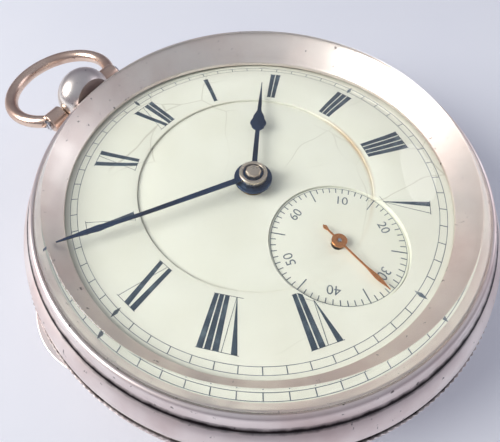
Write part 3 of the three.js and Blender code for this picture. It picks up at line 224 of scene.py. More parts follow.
def node(tree, kind, wires=None, **values):
    """A node with plain settings by name, and wires {input: output socket or number}."""
    made = tree.nodes.new(kind)
    for label, value in values.items():
        setattr(made, label, value)
    for label, value in (wires or {}).items():
        if isinstance(value, bpy.types.NodeSocket):
            tree.links.new(value, made.inputs[label])
        else:
            made.inputs[label].default_value = value
    return made


def band(tree, value, low, high, to_low=0.0, to_high=1.0):
    """Maps low..high onto to_low..to_high, clamped."""
    made = node(tree, "ShaderNodeMapRange", {
        "Value": value, "From Min": low, "From Max": high, "To Min": to_low, "To Max": to_high})
    return made.outputs["Result"]


def maths(tree, operation, a, b=0.0):
    return node(tree, "ShaderNodeMath", {0: a, 1: b}, operation=operation).outputs[0]


def build_wear():
    tree, given, out = new_group(
        "handling_wear", {"Scale": 1.0, "Pitting": 0.5}, ["Tarnish", "Scratches", "Pits", "Height"])
    place_at = node(tree, "ShaderNodeTexCoord").outputs["Object"]
    scale = given.outputs["Scale"]

    def noise(size, detail, stretch=(1, 1, 1), spin=0.0):
        mapping = node(tree, "ShaderNodeMapping", {"Vector": place_at, "Scale": stretch,
                                                   "Rotation": (spin * 0.7, spin * 0.4, spin)})
        fineness = maths(tree, "MULTIPLY", scale, size)
        grain = node(tree, "ShaderNodeTexNoise", {
            "Vector": mapping.outputs[0], "Scale": fineness, "Detail": detail})
        return grain.outputs["Fac"]
    tarnish = band(tree, noise(120, 6), 0.4, 0.66)
    hairs = [band(tree, noise(900, 2, (1, 22, 1), spin), 0.66, 0.74) for spin in (0.3, 1.3, 2.4)]
    scratches = maths(tree, "MAXIMUM", maths(tree, "MAXIMUM", hairs[0], hairs[1]), hairs[2])
    speck = band(tree, noise(1500, 3), 0.68, 0.74)
    pits = maths(tree, "MULTIPLY", speck, given.outputs["Pitting"])
    depth = maths(tree, "ADD", maths(tree, "MULTIPLY", scratches, 0.35), pits)
    height = maths(tree, "SUBTRACT", 1.0, depth)
    found = {"Tarnish": tarnish, "Scratches": scratches, "Pits": pits, "Height": height}
    for label, socket in found.items():
        tree.links.new(socket, out.inputs[label])
    return tree


def build_grime():
    """Painted shade in a groove that runs round the case: a dark soft ring at one radius and height."""
    tree, given, out = new_group(
        "groove_painted_shade", {"Radius": 0.0244, "Height": 0.0118, "Reach": 0.0004}, ["Grime"])
    place_at = node(tree, "ShaderNodeTexCoord").outputs["Object"]
    parts = node(tree, "ShaderNodeSeparateXYZ", {0: place_at})
    flat = node(tree, "ShaderNodeCombineXYZ", {0: parts.outputs[0], 1: parts.outputs[1]})
    away = node(tree, "ShaderNodeVectorMath", {0: flat.outputs[0]}, operation="LENGTH").outputs["Value"]
    across = maths(tree, "SUBTRACT", away, given.outputs["Radius"])
    above = maths(tree, "SUBTRACT", parts.outputs[2], given.outputs["Height"])
    square = maths(tree, "ADD", maths(tree, "MULTIPLY", across, across),
                   maths(tree, "MULTIPLY", above, above))
    near = maths(tree, "DIVIDE", maths(tree, "SQRT", square), given.outputs["Reach"])
    rough_edge = node(tree, "ShaderNodeTexNoise", {"Vector": place_at, "Scale": 900.0, "Detail": 3.0})
    ragged = maths(tree, "ADD", near, maths(tree, "MULTIPLY", rough_edge.outputs["Fac"], 0.7))
    tree.links.new(band(tree, ragged, 0.9, 1.5, 1.0, 0.0), out.inputs["Grime"])
    return tree


handling_wear = build_wear()
groove_painted_shade = build_grime()
print("wear group outputs", [s.name for s in handling_wear.interface.items_tree if s.in_out == "OUTPUT"])

# %% [markdown]
# ## Metals
# Silver, gilt brass, steel and blued steel differ in colour and gloss, not in kind, so one function
# makes them all. The clean colour turns towards the tarnished one in the broad mask and darkens in the
# pits, and the scratches break up the gloss.
# %% Metal finishes
def mix(tree, share, a, b):
    made = node(tree, "ShaderNodeMix", data_type="RGBA")
    tree.links.new(share, made.inputs["Factor"])
    for label, value in (("A", a), ("B", b)):
        socket = next(s for s in made.inputs if s.name == label and s.type == "RGBA")
        if isinstance(value, bpy.types.NodeSocket):
            tree.links.new(value, socket)
        else:
            socket.default_value = (*value, 1)
    return next(s for s in made.outputs if s.type == "RGBA")


def shaded(name):
    material = bpy.data.materials.new(name)
    material.use_nodes = True
    tree = material.node_tree
    return material, tree, tree.nodes["Principled BSDF"]


def metal(name, clean, tarnished, gloss=(0.22, 0.42), scale=1.0, pitting=0.5, bump=0.08, grooves=()):
    material, tree, surface = shaded(name)
    wear = node(tree, "ShaderNodeGroup", node_tree=handling_wear)
    wear.inputs["Scale"].default_value = scale
    wear.inputs["Pitting"].default_value = pitting
    colour = mix(tree, wear.outputs["Tarnish"], clean, tarnished)
    colour = mix(tree, wear.outputs["Pits"], colour, tuple(c * 0.18 for c in tarnished))
    # Painted shade: each groove's ring turns the colour near black, standing in for the shade in the gap between
    # parts.
    for radius, height, reach in grooves:
        shade_ring = node(tree, "ShaderNodeGroup", node_tree=groove_painted_shade)
        for label, value in (("Radius", radius), ("Height", height), ("Reach", reach)):
            shade_ring.inputs[label].default_value = value * MM
        colour = mix(tree, shade_ring.outputs["Grime"], colour, (0.02, 0.014, 0.016))
    rough = maths(tree, "ADD", band(tree, wear.outputs["Tarnish"], 0, 1, *gloss),
                  maths(tree, "MULTIPLY", wear.outputs["Scratches"], 0.12))
    relief = node(tree, "ShaderNodeBump", {"Height": wear.outputs["Height"], "Strength": bump,
                                           "Distance": 0.00003})
    tree.links.new(colour, surface.inputs["Base Color"])
    tree.links.new(rough, surface.inputs["Roughness"])
    tree.links.new(relief.outputs[0], surface.inputs["Normal"])
    surface.inputs["Metallic"].default_value = 1.0
    return material


# The two grooves where painted shade darkens the silver: radius, height and reach in mm.
BEZEL_GROOVE, BAND_GROOVE = (24.35, 11.85, 0.42), (25.75, 8.6, 0.3)
SILVER = metal("worn_silver", (0.92, 0.83, 0.79), (0.74, 0.61, 0.58), (0.34, 0.48), pitting=0.9,
               grooves=(BEZEL_GROOVE, BAND_GROOVE))
SILVER_PALE = metal("pale_silver", (0.90, 0.85, 0.78), (0.66, 0.60, 0.58), (0.26, 0.42), 1.4, 0.5)
BOW_SILVER = metal("warm_silver", (0.80, 0.62, 0.50), (0.46, 0.30, 0.24), (0.25, 0.45), 1.3, 0.8)
STEEL = metal("polished_steel", (0.62, 0.63, 0.65), (0.44, 0.44, 0.47), (0.15, 0.28), 1.6, 0.2)
BLUED = metal("blued_steel", (0.035, 0.065, 0.14), (0.02, 0.03, 0.06), (0.34, 0.5), 1.8, 0.2)
BOSS_METAL = metal("worn_boss", (0.86, 0.76, 0.62), (0.58, 0.48, 0.40), (0.2, 0.36), 2.4, 0.5)
GILT = metal("frosted_gilt", (0.83, 0.65, 0.32), (0.68, 0.50, 0.23), (0.34, 0.5), 2.2, 0.15)
BRASS = metal("polished_brass", (0.80, 0.64, 0.30), (0.62, 0.46, 0.20), (0.16, 0.32), 1.6, 0.2)
COPPER = metal("copper_gilt", (0.80, 0.33, 0.12), (0.56, 0.20, 0.07), (0.22, 0.36), 2.0, 0.2)

# %% [markdown]
# ## Enamel, ink, jewel and glass
# Enamel is glass over copper: smooth, cream, crossed by hairline cracks, and stained brown where dirt
# crept in at the step of the sunk centre. The cracks are the thin borders between Voronoi cells, kept
# only where a broad noise allows them, so they wander and stop as real ones do. The glass lets lamp
# rays straight through, because a renderer can't find the light behind a thick lens quickly.
# %% Enamel
MOVEMENT_TURN = -7.2
TO_DIAL = Matrix.Rotation(math.radians(MOVEMENT_TURN), 4, "Z")
CENTRE_R, SECONDS_R, SECONDS_Y, DIAL_R, DIAL_Z = 12.83, 6.98, -11.08, 20.9, 10.7
STAIN_AT = Vector((10.2, -7.75, DIAL_Z))


def scaled(tree, colour, amount):
    return node(tree, "ShaderNodeVectorMath", {0: colour, "Scale": amount}, operation="SCALE").outputs[0]


def enamel(name):
    material, tree, surface = shaded(name)
    at = node(tree, "ShaderNodeTexCoord").outputs["Object"]
    bend = node(tree, "ShaderNodeTexNoise", {"Vector": at, "Scale": 90.0, "Detail": 2.0})
    shifted = node(tree, "ShaderNodeVectorMath", {0: at, 1: scaled(tree, bend.outputs["Color"], 0.004)})
    cells = node(tree, "ShaderNodeTexVoronoi", {"Vector": shifted.outputs[0], "Scale": 95.0},
                 feature="DISTANCE_TO_EDGE")
    line = band(tree, cells.outputs["Distance"], 0.0, 0.007, 1.0, 0.0)
    allow = node(tree, "ShaderNodeTexNoise", {"Vector": at, "Scale": 55.0, "Detail": 1.0})
    cracks = maths(tree, "MULTIPLY", line, band(tree, allow.outputs["Fac"], 0.5, 0.6, 0.0, 0.55))
    cloud = node(tree, "ShaderNodeTexNoise", {"Vector": at, "Scale": 140.0, "Detail": 5.0})
    colour = mix(tree, band(tree, cloud.outputs["Fac"], 0.35, 0.7),
                 (0.77, 0.785, 0.70), (0.72, 0.73, 0.635))
    away = node(tree, "ShaderNodeVectorMath", {0: at, 1: (0, 0, DIAL_Z * MM)}, operation="DISTANCE")
    rim = maths(tree, "ABSOLUTE", maths(tree, "SUBTRACT", away.outputs["Value"], CENTRE_R * MM))
    edge = band(tree, rim, 0.00004, 0.0004, 1.0, 0.0)
    patch = node(tree, "ShaderNodeTexNoise", {"Vector": at, "Scale": 70.0, "Detail": 4.0})
    side = node(tree, "ShaderNodeVectorMath", {0: at, 1: STAIN_AT * MM}, operation="DISTANCE")
    worst = band(tree, side.outputs["Value"], 0.001, 0.009, 0.7, 0.08)
    stain = maths(tree, "MULTIPLY", edge, maths(tree, "MULTIPLY", worst,
                                                band(tree, patch.outputs["Fac"], 0.4, 0.6, 0.3, 1.0)))
    colour = mix(tree, stain, colour, (0.45, 0.27, 0.10))
    colour = mix(tree, cracks, colour, (0.40, 0.38, 0.30))
    tree.links.new(colour, surface.inputs["Base Color"])
    tree.links.new(band(tree, cloud.outputs["Fac"], 0.3, 0.7, 0.1, 0.24), surface.inputs["Roughness"])
    dent = node(tree, "ShaderNodeBump", {"Height": maths(tree, "SUBTRACT", 1.0, cracks), "Strength": 0.3,
                                         "Distance": 0.00002})
    tree.links.new(dent.outputs[0], surface.inputs["Normal"])
    return material


ENAMEL = enamel("cream_enamel")


def ink(name, colour, faded):
    material, tree, surface = shaded(name)
    at = node(tree, "ShaderNodeTexCoord").outputs["Object"]
    fade = node(tree, "ShaderNodeTexNoise", {"Vector": at, "Scale": 900.0, "Detail": 4.0})
    tree.links.new(mix(tree, band(tree, fade.outputs["Fac"], 0.5, 0.75), colour, faded),
                   surface.inputs["Base Color"])
    surface.inputs["Roughness"].default_value = 0.3
    return material


INK = ink("slate_ink", (0.03, 0.05, 0.075), (0.10, 0.14, 0.17))
THIN_INK = ink("fine_ink", (0.09, 0.12, 0.15), (0.26, 0.29, 0.30))


def jewel(name):
    material, tree, surface = shaded(name)
    at = node(tree, "ShaderNodeTexCoord").outputs["Object"]
    depth = node(tree, "ShaderNodeTexNoise", {"Vector": at, "Scale": 700.0})
    tree.links.new(mix(tree, depth.outputs["Fac"], (0.55, 0.02, 0.09), (0.30, 0.0, 0.05)),
                   surface.inputs["Base Color"])
    surface.inputs["Roughness"].default_value = 0.06
    surface.inputs["Coat Weight"].default_value = 0.6
    return material


def glass(name):
    material, tree, surface = shaded(name)
    at = node(tree, "ShaderNodeTexCoord").outputs["Object"]
    film = node(tree, "ShaderNodeTexNoise", {"Vector": at, "Scale": 160.0, "Detail": 5.0})
    tree.links.new(band(tree, film.outputs["Fac"], 0.45, 0.75, 0.0, 0.05), surface.inputs["Roughness"])
    tree.links.new(mix(tree, film.outputs["Fac"], (0.99, 1.0, 0.98), (0.95, 0.97, 0.94)),
                   surface.inputs["Base Color"])
    surface.inputs["Transmission Weight"].default_value = 1.0
    surface.inputs["IOR"].default_value = 1.5
    clear = node(tree, "ShaderNodeBsdfTransparent")
    rays = node(tree, "ShaderNodeLightPath")
    choose = node(tree, "ShaderNodeMixShader", {0: rays.outputs["Is Shadow Ray"]})
    tree.links.new(surface.outputs[0], choose.inputs[1])
    tree.links.new(clear.outputs[0], choose.inputs[2])
    tree.links.new(choose.outputs[0], tree.nodes["Material Output"].inputs["Surface"])
    return material


RUBY = jewel("ruby")
GLASS = glass("bevelled_glass")
print("materials", len(bpy.data.materials))

# %% [markdown]
# ## The case middle
# The middle of the case carries everything: a neck above that the bezel snaps over and a neck below
# for the two covers. Its outer flank is a soft swell. The knuckle seats are cut out of the ring first,
# then the knuckles are set in them.
# %% Case middle
CASE_R, BAND_R = 26.0, 25.7
NECK_OUT, NECK_IN = BAND_R - 0.75, BAND_R - 1.35
BEZEL_R, BEZEL_FOOT_R = 23.45, 24.45
BAND_TOP_Z, BAND_FOOT_Z, NECK_FOOT_Z = 11.65, 8.75, 7.55
SHOULDER_R, SWELL, SWELL_DROP = 24.3, 1.4, 2.7
ROOF_Z, WALL_OUT, WALL_IN = 10.5, 22.0, 21.25
LEDGE_R, LEDGE_Z, LEDGE_TOP = 20.6, 7.9, 8.55
SNAP_IN, SNAP_OUT, SNAP_TOP = 22.45, 23.35, 12.0
STALK_Z, STALK_R, STALK_SEAT_R = 10.0, 1.5, 1.55
back_axis, bezel_axis = joint_at["back_cover_hinge"], joint_at["bezel_hinge"]
BACK_KNUCKLE, BEZEL_KNUCKLE, GAP = 0.62, 0.5, 0.15
BACK_SPANS = {"tongue": 0.6, "cover": (0.85, 2.6), "band": (2.75, 4.4)}
BEZEL_SPANS = {"bezel": 2.0, "band": (2.15, 3.8)}


def along_y(name, axis, radius, y0, y1, edge=0.06):
    return bar(name, (axis.x, y0, axis.z), (axis.x, y1, axis.z), radius, 40, edge)


def knuckle_room(axis, radius, half):
    return along_y("room", axis, radius + GAP, -half, half, 0.001)


def case_middle():
    flank = [(SHOULDER_R + SWELL * math.sin(math.pi / 2 * t), BAND_TOP_Z - SWELL_DROP * t ** 1.25)
             for t in [k / 9 for k in range(10)]]
    inside = [(BAND_R - 0.05, BAND_FOOT_Z), (NECK_OUT, BAND_FOOT_Z), (NECK_OUT, NECK_FOOT_Z),
              (NECK_IN, NECK_FOOT_Z), (NECK_IN, ROOF_Z), (WALL_OUT, ROOF_Z), (WALL_OUT, LEDGE_Z),
              (LEDGE_R, LEDGE_Z), (LEDGE_R, LEDGE_TOP), (WALL_IN, LEDGE_TOP), (WALL_IN, DIAL_Z),
              (SNAP_IN, DIAL_Z), (SNAP_IN, SNAP_TOP), (SNAP_OUT, SNAP_TOP), (SNAP_OUT, BAND_TOP_Z)]
    ring = turned("case_middle", rounded(flank + inside, 0.09))
    cuts = [knuckle_room(back_axis, BACK_KNUCKLE, BACK_SPANS["band"][1]),
            knuckle_room(bezel_axis, BEZEL_KNUCKLE, BEZEL_SPANS["band"][1]),
            bar("seat", (0, BAND_R - 2, STALK_Z), (0, BAND_R + 2, STALK_Z), STALK_SEAT_R)]
    parts = [carve(ring, cuts)]
    for side in (-1, 1):
        for axis, radius, span, leaf in (
                (back_axis, BACK_KNUCKLE, BACK_SPANS["band"], (BAND_R - 1.1, BAND_FOOT_Z + 0.05, 9.2)),
                (bezel_axis, BEZEL_KNUCKLE, BEZEL_SPANS["band"], (BEZEL_FOOT_R - 0.8, 11.2, 11.6))):
            y0, y1 = sorted(side * y for y in span)
            parts.append(along_y("knuckle", axis, radius, y0, y1))
            parts.append(brick("leaf", (leaf[0], y0, leaf[1]), (axis.x, y1, leaf[2])))
    return merged("case_middle", parts)


place("case_middle", case_middle(), SILVER, "case", ["case_band"])

# %% [markdown]
# ## Bezel and glass
# The bezel is the broad bright ring round the dial. Its inside slopes down to the enamel, and the thick
# glass sits in a seat near its crest with a flat top and a bevelled edge.
# %% Bezel and glass
BEZEL_TOP_Z, GLASS_SEAT_Z, GLASS_TOP_Z, GLASS_TOP_R = 13.4, 13.05, 15.13, 21.86
LIP_R = 20.5


def bezel():
    neck_in, neck_top = BEZEL_R - 1.25, BAND_TOP_Z + 0.5
    crest = [(BEZEL_R - 0.15, BEZEL_TOP_Z - 0.04), (BEZEL_R + 0.05, BEZEL_TOP_Z),
             (BEZEL_R + 0.25, BEZEL_TOP_Z - 0.1), (BEZEL_R + 0.4, BEZEL_TOP_Z - 0.3),
             (BEZEL_R + 0.65, BAND_TOP_Z + 0.65), (BEZEL_FOOT_R, BAND_TOP_Z + 0.3)]
    outline = [(LIP_R, DIAL_Z + 0.15), (LIP_R, DIAL_Z + 0.45), (BEZEL_R - 0.7, GLASS_SEAT_Z),
               (BEZEL_R - 0.15, GLASS_SEAT_Z), *crest, (BEZEL_FOOT_R, BAND_TOP_Z + 0.1),
               (BEZEL_R, BAND_TOP_Z + 0.1), (BEZEL_R, neck_top), (neck_in, neck_top),
               (neck_in, BAND_TOP_Z - 0.1), (LIP_R + 0.8, DIAL_Z + 0.15)]
    ring = carve(turned("bezel_ring", rounded(outline, 0.08)),
                 [knuckle_room(bezel_axis, BEZEL_KNUCKLE, BEZEL_SPANS["band"][1] + GAP)])
    half = BEZEL_SPANS["bezel"]
    leaf = brick("leaf", (BEZEL_FOOT_R - 0.7, -half, BAND_TOP_Z + 0.12),
                 (bezel_axis.x, half, bezel_axis.z + BEZEL_KNUCKLE))
    knuckle = along_y("knuckle", bezel_axis, BEZEL_KNUCKLE, -half, half)
    return merged("bezel_ring", [ring, leaf, knuckle])


def watch_glass():
    low, hollow, edge_r = GLASS_SEAT_Z + 0.05, GLASS_TOP_Z - 1.2, BEZEL_R - 0.2
    inner_r, outer_r = GLASS_TOP_R - 10, GLASS_TOP_R - 1.3
    underside = []
    steps = 24
    for k in range(steps + 1):
        t = k / steps
        fall = t * t * (3 - 2 * t)
        underside.append((inner_r + (outer_r - inner_r) * t, hollow - (hollow - low) * fall))
    outline = [(0, GLASS_TOP_Z), (0, hollow), *underside, (edge_r, low), (edge_r, low + 0.35),
               (GLASS_TOP_R, GLASS_TOP_Z)]
    return turned("watch_glass", rounded(outline, 0.12, 4))


place("bezel_ring", bezel(), SILVER, "bezel", ["bezel"])
place("watch_glass", watch_glass(), GLASS, "bezel", ["crystal"])

# %% [markdown]
# ## Back cover, inner cover and coin edge
# The back is a shallow dome. Its rim is milled like a coin's, so a thumb can grip it. Hundreds of
# ridges need a dense mesh, so the milled band is a ring of its own and the plain dome stays light.
# %% Covers
BACK_FLAT_R, BACK_RIM_Z, BACK_RIM_TOP, DOME_POWER = 8.0, 7.5, 8.4, 2.3
LIP_TURN, LIP_SPAN, LIP_REACH = 163.5, 19, 0.75
RIDGES, KEY_HOLE_R = 250, 1.9


def dome(flat_r, edge_r, low, rise, steps=26):
    result = []
    for k in range(steps + 1):
        t = math.sin(math.pi / 2 * k / steps)
        height = rise * (1 - (1 - t ** DOME_POWER) ** (1 / DOME_POWER))
        result.append((flat_r + (edge_r - flat_r) * t, low + height))
    return result


def back_cover():
    outside = dome(BACK_FLAT_R, CASE_R, 0, BACK_RIM_Z)
    wall = 0.5
    inside = dome(BACK_FLAT_R, NECK_OUT + 0.15, wall, BACK_RIM_Z - 0.4)
    outline = [(0, 0), *outside, (CASE_R - 0.2, BACK_RIM_Z + 0.1), (CASE_R - 0.2, BACK_RIM_TOP),
               (NECK_OUT + 0.15, BACK_RIM_TOP), *inside[::-1], (0, wall)]
    slot = brick("slot", (NECK_IN - 1.2, -0.75, BACK_RIM_Z - 1.3), (CASE_R + 2, 0.75, BACK_RIM_Z + 3))
    room = knuckle_room(back_axis, BACK_KNUCKLE, BACK_SPANS["band"][1] + GAP)
    parts = [carve(turned("back_shell", outline), [room, slot])]
    for side in (-1, 1):
        y0, y1 = sorted(side * y for y in BACK_SPANS["cover"])
        parts.append(along_y("knuckle", back_axis, BACK_KNUCKLE, y0, y1))
        parts.append(brick("leaf", (CASE_R - 0.7, y0, BACK_RIM_TOP - 0.6),
                           (back_axis.x, y1, BACK_RIM_TOP - 0.02)))
    return merged("back_shell", parts)


def coin_edge():
    deep = 0.11

    def ripple(r, z, k):
        return deep * (0.5 - 0.5 * math.cos(2 * math.pi * k / 4)) if r > CASE_R - 0.15 else 0
    outline = rounded([(CASE_R - 0.35, BACK_RIM_Z), (CASE_R, BACK_RIM_Z), (CASE_R, BACK_RIM_TOP),
                       (CASE_R - 0.35, BACK_RIM_TOP)], 0.1)
    ring = turned("coin_edge", outline, RIDGES * 4, ripple)
    return carve(ring, [knuckle_room(back_axis, BACK_KNUCKLE, BACK_SPANS["band"][1] + GAP)])


def thumb_lip():
    steps = 20
    outer = [polar(CASE_R - 0.2 + LIP_REACH * math.sin(math.pi * k / steps),
                   LIP_TURN + LIP_SPAN * (k / steps - 0.5)) for k in range(steps + 1)]
    inner = [polar(CASE_R - 0.4, LIP_TURN + LIP_SPAN * (k / steps - 0.5)) for k in range(steps, -1, -1)]
    return plate("thumb_lip", [outer + inner], BACK_RIM_Z + 0.25, BACK_RIM_Z + 0.7, 0.08)


def inner_cover():
    low, wall, edge_r = 1.6, 0.4, NECK_IN - 0.1
    rise, top = NECK_FOOT_Z - 0.45 - low, NECK_FOOT_Z - 0.05
    outline = [(0, low), *dome(BACK_FLAT_R, edge_r, low, rise), (edge_r, top), (edge_r - wall, top),
               *dome(BACK_FLAT_R, edge_r - wall, low + wall, rise - 0.05)[::-1], (0, low + wall)]
    key = joint_at["winding_turn"]
    hole = bar("hole", (key.x, key.y, 0), (key.x, key.y, 5), KEY_HOLE_R)
    half, tongue_top, shoulder = BACK_SPANS["tongue"], NECK_FOOT_Z - 0.1, 0.45
    tongue_low = tongue_top - shoulder
    tongue = brick("tongue", (edge_r - 0.3, -half, tongue_low), (back_axis.x + 0.1, half, tongue_top))
    stem = brick("stem", (back_axis.x - shoulder, -half, tongue_low),
                 (back_axis.x + shoulder, half, back_axis.z))
    return merged("inner_shell", [carve(turned("inner_shell", outline), [hole]), tongue, stem,
                                  along_y("knuckle", back_axis, BACK_KNUCKLE, -half, half)])


place("back_shell", back_cover(), SILVER, "back_cover", ["back_cover"])
place("coin_edge", coin_edge(), SILVER, "back_cover")
place("thumb_lip", thumb_lip(), SILVER, "back_cover")
place("inner_shell", inner_cover(), SILVER_PALE, "inner_cover", ["inner_cover"])
print("coin edge ridges", RIDGES, "at", round(2 * math.pi * CASE_R / RIDGES, 2), "mm")

# %% [markdown]
# ## Pendant and bow
# The pendant is a slightly flattened ball, hollowed where the case swings past. The bow is round wire
# bent to an oval, with an eye at each end. It is swept along its centreline in the plane that it
# hangs in.
# %% Pendant and bow
PENDANT_Y, PENDANT_Z, PENDANT_R, PENDANT_HALF = 26.4, 11.0, 3.7, 3.0
pivot = joint_at["bow_swing"]
BOW_HALF_W, BOW_HALF_H, BOW_CENTRE, BOW_DROOP, WIRE_R, EYE_R = 7.17, 6.6, 4.6, -4.7, 0.85, 1.25
EYE_IN = PENDANT_R + 0.05
EYE_OUT = EYE_IN + 2.3


def pendant():
    steps = 48
    outline = [(PENDANT_R * math.sin(math.pi * k / steps), -PENDANT_HALF * math.cos(math.pi * k / steps))
               for k in range(steps + 1)]
    outline[0], outline[-1] = (0, -PENDANT_HALF), (0, PENDANT_HALF)
    ball = turned("pendant_ball", outline, 96)
    upright = Matrix.Rotation(-math.pi / 2, 4, "X")
    ball.transform(Matrix.Translation((0, PENDANT_Y * MM, PENDANT_Z * MM)) @ upright)
    gap = BAND_R + 0.05
    room = turned("room", [(0, -2), (CASE_R + 0.3, -2), (CASE_R + 0.3, BAND_FOOT_Z), (gap, BAND_FOOT_Z),
                           (gap, 9.7), (gap - 0.5, 10.9), (BEZEL_FOOT_R + 0.2, BAND_TOP_Z),
                           (BEZEL_FOOT_R + 0.2, 16), (0, 16)], 160)
    bore = bar("bore", (-6, pivot.y, pivot.z), (6, pivot.y, pivot.z), 0.45)
    neck = bar("neck", (0, BAND_R - 1.6, STALK_Z), (0, PENDANT_Y, STALK_Z), STALK_R)
    return merged("pendant_ball", [carve(ball, [room, bore]), neck])


def bow():
    start = math.acos((BOW_CENTRE - 0.1) / BOW_HALF_H)
    steps, sides = 96, 28
    path = []
    for i in range(steps + 1):
        t = start + (i / steps) * 2 * (math.pi - start)
        path.append(Vector((BOW_HALF_W * math.sin(t), BOW_CENTRE - BOW_HALF_H * math.cos(t), 0)))
    points, faces = [], []
    for i, at in enumerate(path):
        ahead = (path[min(i + 1, steps)] - path[max(i - 1, 0)]).normalized()
        across = Vector((ahead.y, -ahead.x, 0))
        swell = WIRE_R * (0.94 + 0.06 * math.sin(math.pi * i / steps))
        for k in range(sides):
            c, s = polar(swell, 360 * k / sides)
            points.append(at + across * c + Vector((0, 0, s)))
    for i in range(steps):
        for k in range(sides):
            j = (k + 1) % sides
            faces.append((i * sides + k, i * sides + j, (i + 1) * sides + j, (i + 1) * sides + k))
    faces += [tuple(range(sides))[::-1], tuple(steps * sides + k for k in range(sides))]
    wire = mesh_from("bow_wire", points, faces)

    def along_x(name, x0, x1, radius, sides=40, edge=0.001):
        return bar(name, (x0, 0, 0), (x1, 0, 0), radius, sides, edge)
    cuts = [along_x("face", side * EYE_OUT, side * (EYE_OUT + 3), 0.75) for side in (-1, 1)]
    cuts.append(along_x("bore", -15, 15, 0.5))
    parts = [carve(wire, cuts)]
    for side in (-1, 1):
        eye = along_x("eye", side * EYE_IN, side * EYE_OUT, EYE_R, 56, 0.2)
        parts.append(carve(eye, [along_x("bore", -15, 15, 0.5)]))
    mesh = merged("bow_wire", parts)
    mesh.transform(Matrix.Translation(pivot * MM) @ Matrix.Rotation(math.radians(BOW_DROOP), 4, "X"))
    return mesh


place("pendant_ball", pendant(), SILVER_PALE, "case", ["pendant"])
place("bow_wire", bow(), BOW_SILVER, "bow", ["bow"])

# %% [markdown]
# ## The dial
# The dial is three pieces of enamel: the ring with the hours, a centre sunk a little below it and a
# seconds dial sunk deeper still. The printing stands a hair above the enamel, as fired paint does. The
# hours fan outwards, so every stroke is drawn upright first and then spread with the radius.
# %% Dial plates
CENTRE_SINK, SECONDS_SINK, DIAL_THICK, SUNK_THICK, ENAMEL_GAP = 0.25, 0.5, 0.9, 0.5, 0.03


def at_seconds(mesh):
    mesh.transform(Matrix.Translation((0, SECONDS_Y * MM, 0)))
    return mesh


def to_dial(mesh):
    mesh.transform(TO_DIAL)
    return mesh


def seconds_cut():
    return at_seconds(turned("cut", [(0, 0), (SECONDS_R, 0), (SECONDS_R, 20), (0, 20)], 160))


def sunk_plate(name, hole, outer, top, *sides):
    low = top - SUNK_THICK
    outline = [(hole, low), (outer, low), (outer, top), (hole, top)]
    return turned(name, rounded(outline, 0.06), *sides)


def dial_plates():
    low = DIAL_Z - DIAL_THICK
    outline = [(CENTRE_R, low), (DIAL_R, low), (DIAL_R, DIAL_Z), (CENTRE_R, DIAL_Z)]
    ring = carve(turned("dial_ring_fine", rounded(outline, 0.09)), [seconds_cut()])
    centre = sunk_plate("dial_centre_fine", 1.5, CENTRE_R - ENAMEL_GAP, DIAL_Z - CENTRE_SINK)
    seconds = sunk_plate("dial_seconds_fine", 0.7, SECONDS_R - ENAMEL_GAP, DIAL_Z - SECONDS_SINK, 160)
    shaped = {"dial_ring": ring, "dial_centre": carve(centre, [seconds_cut()]),
              "dial_seconds": at_seconds(seconds)}
    for cad_name, mesh in shaped.items():
        place(cad_name + "_fine", to_dial(mesh), ENAMEL, "case", [cad_name])


dial_plates()

# %% [markdown]
# ## Printing on the dial
# Each numeral is a handful of strokes: thick bars, and the hairlines that join them. A stroke that
# would run into the seconds dial is shortened to stop at its edge.
# %% Printing on the dial
PRINT = 0.012
NUMERAL_IN, NUMERAL_OUT = 13.45, 18.6
NUMERAL_MID = (NUMERAL_IN + NUMERAL_OUT) / 2
BAR_W, STEP, HAIR = 0.5, 0.62, 0.05
GLYPH_W = {"I": STEP, "V": 1.5, "X": 1.55}


def fan(u, v, minute):
    """A point u across (clockwise) and v out from the centre, at a minute of the dial."""
    out = math.radians(90 - 6 * minute)
    u = u * v / NUMERAL_MID
    return (v * math.cos(out) + u * math.sin(out), v * math.sin(out) - u * math.cos(out))


def past_seconds(u, v, minute):
    """The point, moved outwards if the seconds dial would cut it off."""
    while math.dist(fan(u, v, minute), (0, SECONDS_Y)) < SECONDS_R + 0.06:
        v += 0.02
    return fan(u, v, minute)


def strokes(text):
    """Each stroke as four (across, out) corners, with the numeral centred."""
    left = -sum(GLYPH_W[c] for c in text) / 2
    low, high = NUMERAL_IN, NUMERAL_OUT
    result = []
    for glyph in text:
        w = GLYPH_W[glyph]
        mid = left + w / 2
        if glyph == "I":
            half = BAR_W / 2
            result.append([(mid - half, low), (mid + half, low),
                           (mid + half, high), (mid - half, high)])
        else:
            a, b = left + 0.12, left + w - 0.12
            foot = mid if glyph == "V" else b
            thick = BAR_W
            end = 0.05 if glyph == "V" else thick
            result.append([(foot - end, low), (foot, low), (a + thick, high), (a, high)])
            thin_foot = mid if glyph == "V" else a
            result.append([(thin_foot - HAIR / 2, low), (thin_foot + HAIR / 2, low),
                           (b, high), (b - HAIR, high)])
        left += w
    half = sum(GLYPH_W[c] for c in text) / 2
    for v in (low, high - HAIR):
        result.append([(-half, v), (half, v), (half, v + HAIR), (-half, v + HAIR)])
    return result


def printed(name, quads, height):
    """Flat quads given a printed thickness at a height; each stands a trace above the one before."""
    points, faces = [], []
    for i, quad in enumerate(quads):
        quad = quad if ring_area(quad) > 0 else quad[::-1]
        base = len(points)
        top = height + PRINT + (i % 3) * 0.002
        points += [(x, y, height - 0.01) for x, y in quad] + [(x, y, top) for x, y in quad]
        n = len(quad)
        faces.append([base + n + k for k in range(n)])
        faces.append([base + k for k in range(n)][::-1])
        for k in range(n):
            j = (k + 1) % n
            faces.append((base + k, base + j, base + n + j, base + n + k))
    return mesh_from(name, points, faces)


HOURS = {0: "XII", 5: "I", 10: "II", 15: "III", 20: "IIII", 25: "V", 35: "VII", 40: "VIII",
         45: "IX", 50: "X", 55: "XI"}


